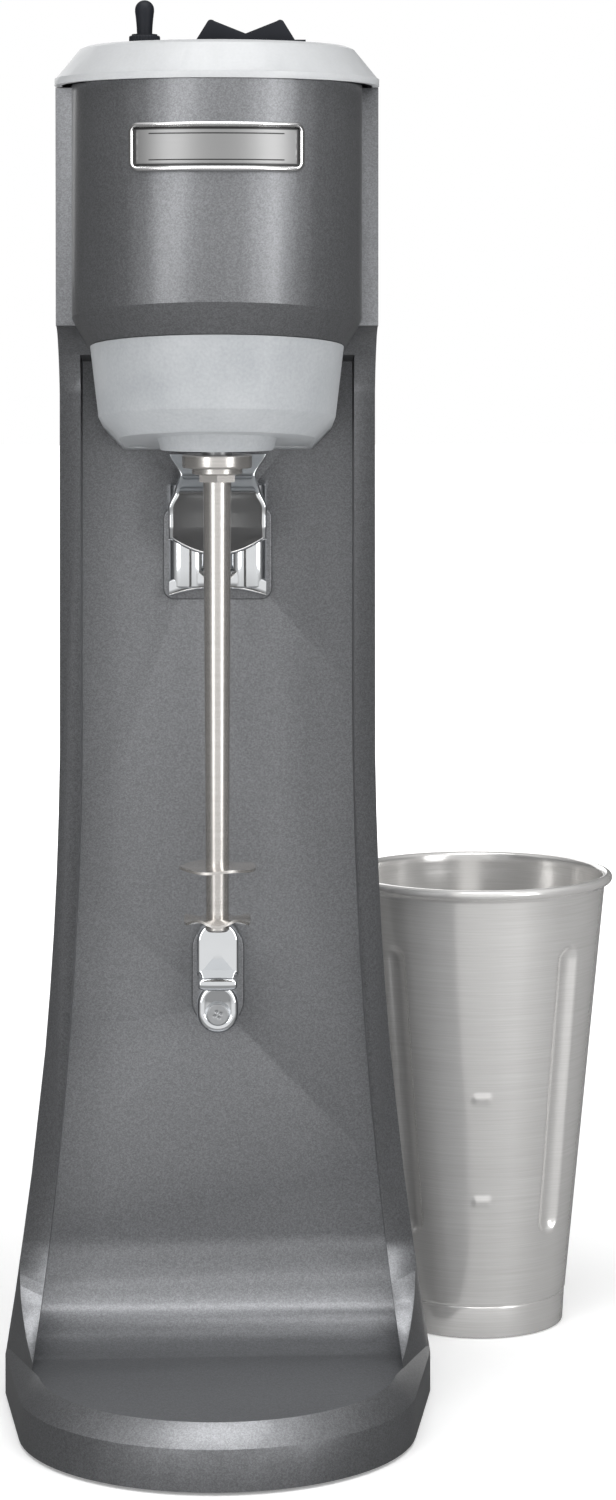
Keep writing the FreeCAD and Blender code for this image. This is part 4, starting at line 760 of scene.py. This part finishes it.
_, rest_low, rest_top = middle("cup_rest")
settle(skin("rest_pad", soft_block(boss_outline(8.0, 159.4, 180.0, 6.9, 1.2), rest_top[1] - 0.1,
                                   52.0, 1.6, 0.5), 60), "mixer", "chrome_cast", ["cup_rest"])
_, screw_low, screw_top = middle("cup_rest_screw")
settle(skin("rest_lobe", soft_block(boss_outline(7.9, rest_low[2], 158.0, 7.7), rest_top[1] - 0.1,
                                    screw_low[1] + 0.5, 2.2, -1.6), 60),
       "mixer", "chrome_cast", ["cup_rest"])
turn = np.linspace(0, np.pi / 2, 8)
reach_y = np.concatenate([rest_low[1] + 1.6 * (1 - np.cos(turn)), np.linspace(35.2, 58.0, 12)])
round_off = np.concatenate([np.sin(turn), np.ones(12)])
ledge_section = bar_grid(np.stack([0 * reach_y, reach_y * 0 + 159.9, reach_y], -1),
                         7.3 * (0.86 + 0.14 * round_off), 2.45 * np.maximum(round_off, 0.05), 4.0)
ledge = np.stack([ledge_section[..., 0], ledge_section[..., 2], ledge_section[..., 1]], -1)
settle(skin("rest_ledge", closed_ends(ledge), 60), "mixer", "chrome_cast", ["cup_rest"])

# %% [markdown]
# The screw that holds the rest has a flat satin head with four small driving dots, so that it can
# be wiped clean. The dots are dents in a disc of rings.


# %% Rest screw
def dotted_head(centre, radius, front, back, dots=1.25, count=96):
    """Rings across a disc; the face sinks by 0.55 exp(-(d/0.42)^2), d being the distance to the
    nearest of four dots on a small square."""
    r = np.concatenate([np.linspace(0, radius - 0.35, 34), radius - 0.35 + 0.35 * np.sin(
        np.linspace(0, np.pi / 2, 5)), [radius, 0]])[:, None]
    edge = np.concatenate([np.zeros(34), 0.35 * (1 - np.cos(np.linspace(0, np.pi / 2, 5))),
                           [back - front, back - front]])[:, None]
    a = np.linspace(0, 2 * np.pi, count, endpoint=False)
    x, z = r * np.cos(a), r * np.sin(a)
    near = np.min([np.hypot(x - dots * np.cos(k), z - dots * np.sin(k))
                   for k in np.pi * np.array([0.12, 0.62, 1.12, 1.62])], axis=0)
    sink = np.where(r < radius - 0.4, 0.55 * np.exp(-((near / 0.42) ** 2)), 0)
    sink[-1] = 0
    return np.stack([centre[0] + x, front + edge + sink, centre[2] + z], -1)


screw_middle = (screw_low + screw_top) / 2
settle(skin("rest_screw", dotted_head(screw_middle, 4.1, screw_low[1], screw_low[1] + 3.0), 45),
       "mixer", "steel_plain", ["cup_rest_screw"])

# %% [markdown]
# ## The cup
# The cup is drawn from one sheet: a small rolled foot, a seam above it, a long taper and a rolled
# rim, with four flutes pressed in so that the drink tumbles. A profile carried round gives the
# can, and each flute is a dent that lowers the radius, worked out for every point at once. The
# inside wall takes the same dent a sheet's thickness in, as pressed steel does.


# %% Dents and marks of the cup
cup_front = -91.4
rod_radius, rod_clear, lip = 6.4, 3.4, 0.14
flute_from, flute_to = 46.0, 152.0


def round_from(degrees, angle, radius):
    """How far round the wall a point lies from a direction, the short way, in millimetres."""
    return radius * ((angle - math.radians(degrees) + np.pi) % (2 * np.pi) - np.pi)


def flute_depth(angle, height, radius):
    """Depth of the four flutes: a rod pressed in, so sqrt(rod_radius^2 - across^2
    - past_the_end^2) - rod_clear, eased at its lip by lip * log(1 + exp(depth / lip))."""
    past = np.maximum(np.maximum(flute_from - height, height - flute_to), 0)
    depth = 0.0
    for turn in (-45, 45, 135, 225):
        across = round_from(cup_front + turn, angle, radius)
        rod = np.sqrt(np.maximum(rod_radius**2 - across**2 - past**2, 0)) - rod_clear
        depth = depth + lip * np.log1p(np.exp(np.clip(rod, -6, 6) / lip))
    return depth


def fill_marks(angle, height, radius):
    """Two raised level marks on the front, 7 wide and 3 tall: 0.4 exp(-(x/3.4)^8 - (z/1.5)^8)."""
    across = round_from(cup_front, angle, radius)
    return sum(0.4 * np.exp(-np.minimum((across / 3.4) ** 8 + ((height - level) / 1.5) ** 8, 50))
               for level in (56.0, 98.0))


print("flutes at 45 degrees either side of", cup_front)

# %% [markdown]
# The wall tapers in a straight line from the seam above the foot to just under the rim, and the
# rim is most of a small circle. The inside runs a millimetre in and takes fewer rows, because it is
# only seen from above.


# %% Cup surface
def cup_grid(centre, tall, count=320):
    """Rows up the outside, over the rolled rim and down the inside to the floor."""
    wall = np.linspace(14.5, tall - 4.6, 150)
    taper = 35.5 + (wall - 13.2) * (51.6 - 35.5) / (tall - 4.0 - 13.2)
    turn = np.linspace(-np.pi * 0.5, np.pi * 0.96, 26)
    rim = np.stack([52.6 + 2.0 * np.cos(turn), tall - 2.0 + 2.0 * np.sin(turn)], -1)
    foot = broken_corners([(0, 1.0), (30.0, 1.0), (30.6, 0.02), (34.5, 0.02), (35.25, 12.4),
                           (34.9, 12.8), (35.4, 13.3), (35.6, 14.0)],
                          [0, 0.5, 0.5, 1.0, 0.3, 0.2, 0.2, 0], 6)
    out = np.stack([taper, wall], -1)
    inner = np.stack([taper - 1.0, wall], -1)[::-3]
    floor = broken_corners([(34.4, 13.4), (33.5, 5.0), (31.5, 2.4), (0, 2.4)], [0, 1, 1, 0])
    profile = np.concatenate([foot, out, rim, inner, floor])
    grid = carried_round(profile, centre, count)
    a = np.linspace(0, 2 * np.pi, count, endpoint=False)[None]
    fluted = (profile[:, 1:] > 30) & (profile[:, :1] < 51.4) & (profile[:, 1:] < 170)
    dent = np.where(fluted, flute_depth(a, profile[:, 1:], np.maximum(profile[:, :1], 1)), 0)
    outside = (np.arange(len(profile)) < len(foot) + len(out))[:, None]
    dent = dent - np.where(outside, fill_marks(a, profile[:, 1:], profile[:, :1]), 0)
    grid[..., 0] -= dent * np.cos(a)
    grid[..., 1] -= dent * np.sin(a)
    return grid


print("the cup's rows are ready")

# %% [markdown]
# The brushing runs round the cup, so its lines change fast with height, and very slowly round the
# axis, which breaks them into long strokes. Smudges from handling make it a little duller.


# %% Cup finish
def cup_finish(centre):
    """Lines are 0.8 fine and 0.2 coarse noise on the height; they tint, dull and score the wall."""
    steel = Finish("cup_steel", Metallic=0.62)
    about = (centre[0] / 1000, centre[1] / 1000, 0)
    fine = steel.noise(2600.0, 3.0, (0.015, 0.015, 1.0), about)
    bands = steel.noise(500.0, 2.0, (0.02, 0.02, 1.0), about)
    smudge = steel.noise(22.0, 3.0)
    lines = fine * 0.8 + bands * 0.2
    steel.set(Base_Color=steel.blend(steel.ramp(lines, 0.25, 0.75), grey(0.7, (1, 0.985, 0.965)),
                                     grey(0.84, (1, 0.99, 0.975))),
              Roughness=0.12 + lines * 0.06 + smudge * 0.04)
    steel.relief(lines, 0.025, 0.0002)
    return steel.material


cup_middle, _, cup_top = middle("cup")
settle(skin("mixing_cup", cup_grid(cup_middle, cup_top[2]), 60), "loose_cup", "steel_brushed",
       ["cup"], cup_finish(cup_middle))

# %% [markdown]
# ## Floor, lights and camera
# A product like this is shown on a wide pale floor in an even white room. The floor gets paler
# with distance, so there is no horizon. Two tall soft boxes, left and right of the camera, give
# the drum its two broad upright highlights, one overhead fills the top, and a weak one behind
# keeps the back from going black.
#
# The floor itself is one flat grid. Light from the boxes reaches only its middle, so its paper
# gives off a little light of its own further out.

# %% Floor
floor_steps = np.concatenate([-np.geomspace(9.0, 0.3, 12), [0.0], np.geomspace(0.3, 9.0, 12)])
across, along = np.meshgrid(floor_steps, floor_steps)
floor_points = np.stack([across, along, 0 * across - 0.0002], -1)
number = np.arange(floor_points.size // 3).reshape(across.shape)
floor_quads = np.stack([number[:-1, :-1], number[:-1, 1:], number[1:, 1:], number[1:, :-1]], -1)
floor_mesh = bpy.data.meshes.new("pale_floor")
floor_mesh.from_pydata(floor_points.reshape(-1, 3).tolist(), [],
                       floor_quads.reshape(-1, 4).tolist())
floor = bpy.data.objects.new("pale_floor", floor_mesh)
bpy.context.scene.collection.objects.link(floor)
paper = Finish("pale_paper", Roughness=0.7, Emission_Strength=1.0)
away = paper.add("ShaderNodeVectorMath", {"operation": "LENGTH"}, {0: paper.place}, "Value")
fibre = paper.noise(400.0, 2.0)
paper.set(Base_Color=paper.blend(fibre, grey(0.86), grey(0.9)),
          Emission_Color=paper.blend(paper.ramp(away, 0.3, 2.0), grey(0.22), grey(0.95)))
floor_mesh.materials.append(paper.material)
floor.visible_glossy = False
print("floor", len(floor_mesh.polygons), "faces")


# %% [markdown]
# Between the boxes the room is lit from the camera's side and falls off to dark at both sides,
# as black cards beside an object do. That is what gives rounded metal its dark edges. The room is
# a plain sum on the direction: bright in front, dark to the sides, middling above and below.


# %% The room's own light
def studio_air():
    """Level = 0.1 + front (0.5 under + 0.22) + 0.35 up, where front fades to the sides and behind,
    under fades below the horizon and up grows overhead; the camera itself sees plain white."""
    air = bpy.data.worlds.new("studio_air")
    air.use_nodes = True
    room = NodeSheet(air.node_tree)
    x, y, z = room.split(room.add("ShaderNodeTexCoord"))
    front = room.ramp(room.maths("ABSOLUTE", x), 0.97, 0.55) * room.ramp(y, 0.5, -0.45)
    under = room.ramp(z, -0.42, -0.2)
    level = 0.1 + front * (under * 0.5 + 0.22) + room.ramp(z, 0.5, 1.0) * 0.35
    seen = room.add("ShaderNodeLightPath", out="Is Camera Ray")
    shade = air.node_tree.nodes["Background"]
    room.plug(shade.inputs["Strength"], level * (1 - seen) + seen)
    shade.inputs["Color"].default_value = grey(1.0)
    return air


bpy.context.scene.world = studio_air()
print("the room's light is set")

# %% [markdown]
# A soft box is an area light on a stand. A lamp with a small source would give hard spots on the
# chrome, where a large one gives the long even streaks of a studio picture.


# %% Lights
def soft_box(name, spot, target, wide, tall, power):
    """A rectangle of light at spot that faces the target."""
    lamp = bpy.data.lights.new(name, "AREA")
    lamp.shape, lamp.size, lamp.size_y, lamp.energy = "RECTANGLE", wide, tall, power
    holder = bpy.data.objects.new(name, lamp)
    bpy.context.scene.collection.objects.link(holder)
    holder.location = spot
    away = np.array(spot) - np.array(target)
    holder.rotation_mode = "QUATERNION"
    holder.rotation_quaternion = Vector(away).to_track_quat("Z", "Y")


soft_box("left_box", (-0.95, -1.35, 0.7), (0, 0, 0.3), 0.6, 1.5, 7)
soft_box("right_box", (1.2, -1.25, 0.7), (0, 0, 0.3), 0.6, 1.5, 10)
soft_box("top_box", (0, -0.55, 2.0), (0, 0, 0.2), 1.3, 1.1, 17)
soft_box("rear_box", (-0.3, 1.9, 1.0), (0, 0, 0.3), 1.3, 1.3, 8)
bpy.context.scene.view_settings.view_transform = "Standard"
print("four soft boxes")

# %% [markdown]
# The camera stands 1.4 m in front, where the column meets the motor head in height, with a long
# lens. It looks almost level, and a shift of the lens takes in the foot, so the uprights stay
# upright. It could tilt down instead, but then the column would narrow towards the foot.

# %% Camera
camera = bpy.data.cameras.new("camera")
camera.sensor_width, camera.sensor_fit = 36.0, "AUTO"
camera.lens, camera.shift_y = 90.44, -0.25
camera.clip_start, camera.clip_end = 0.05, 50
eye = bpy.data.objects.new("camera", camera)
bpy.context.scene.collection.objects.link(eye)
eye.location = (0.00427, -1.36711, 0.41781)
eye.rotation_euler = (math.radians(90 - 1.243), 0, math.radians(-1.203))
bpy.context.scene.camera = eye
print("camera", tuple(eye.location))
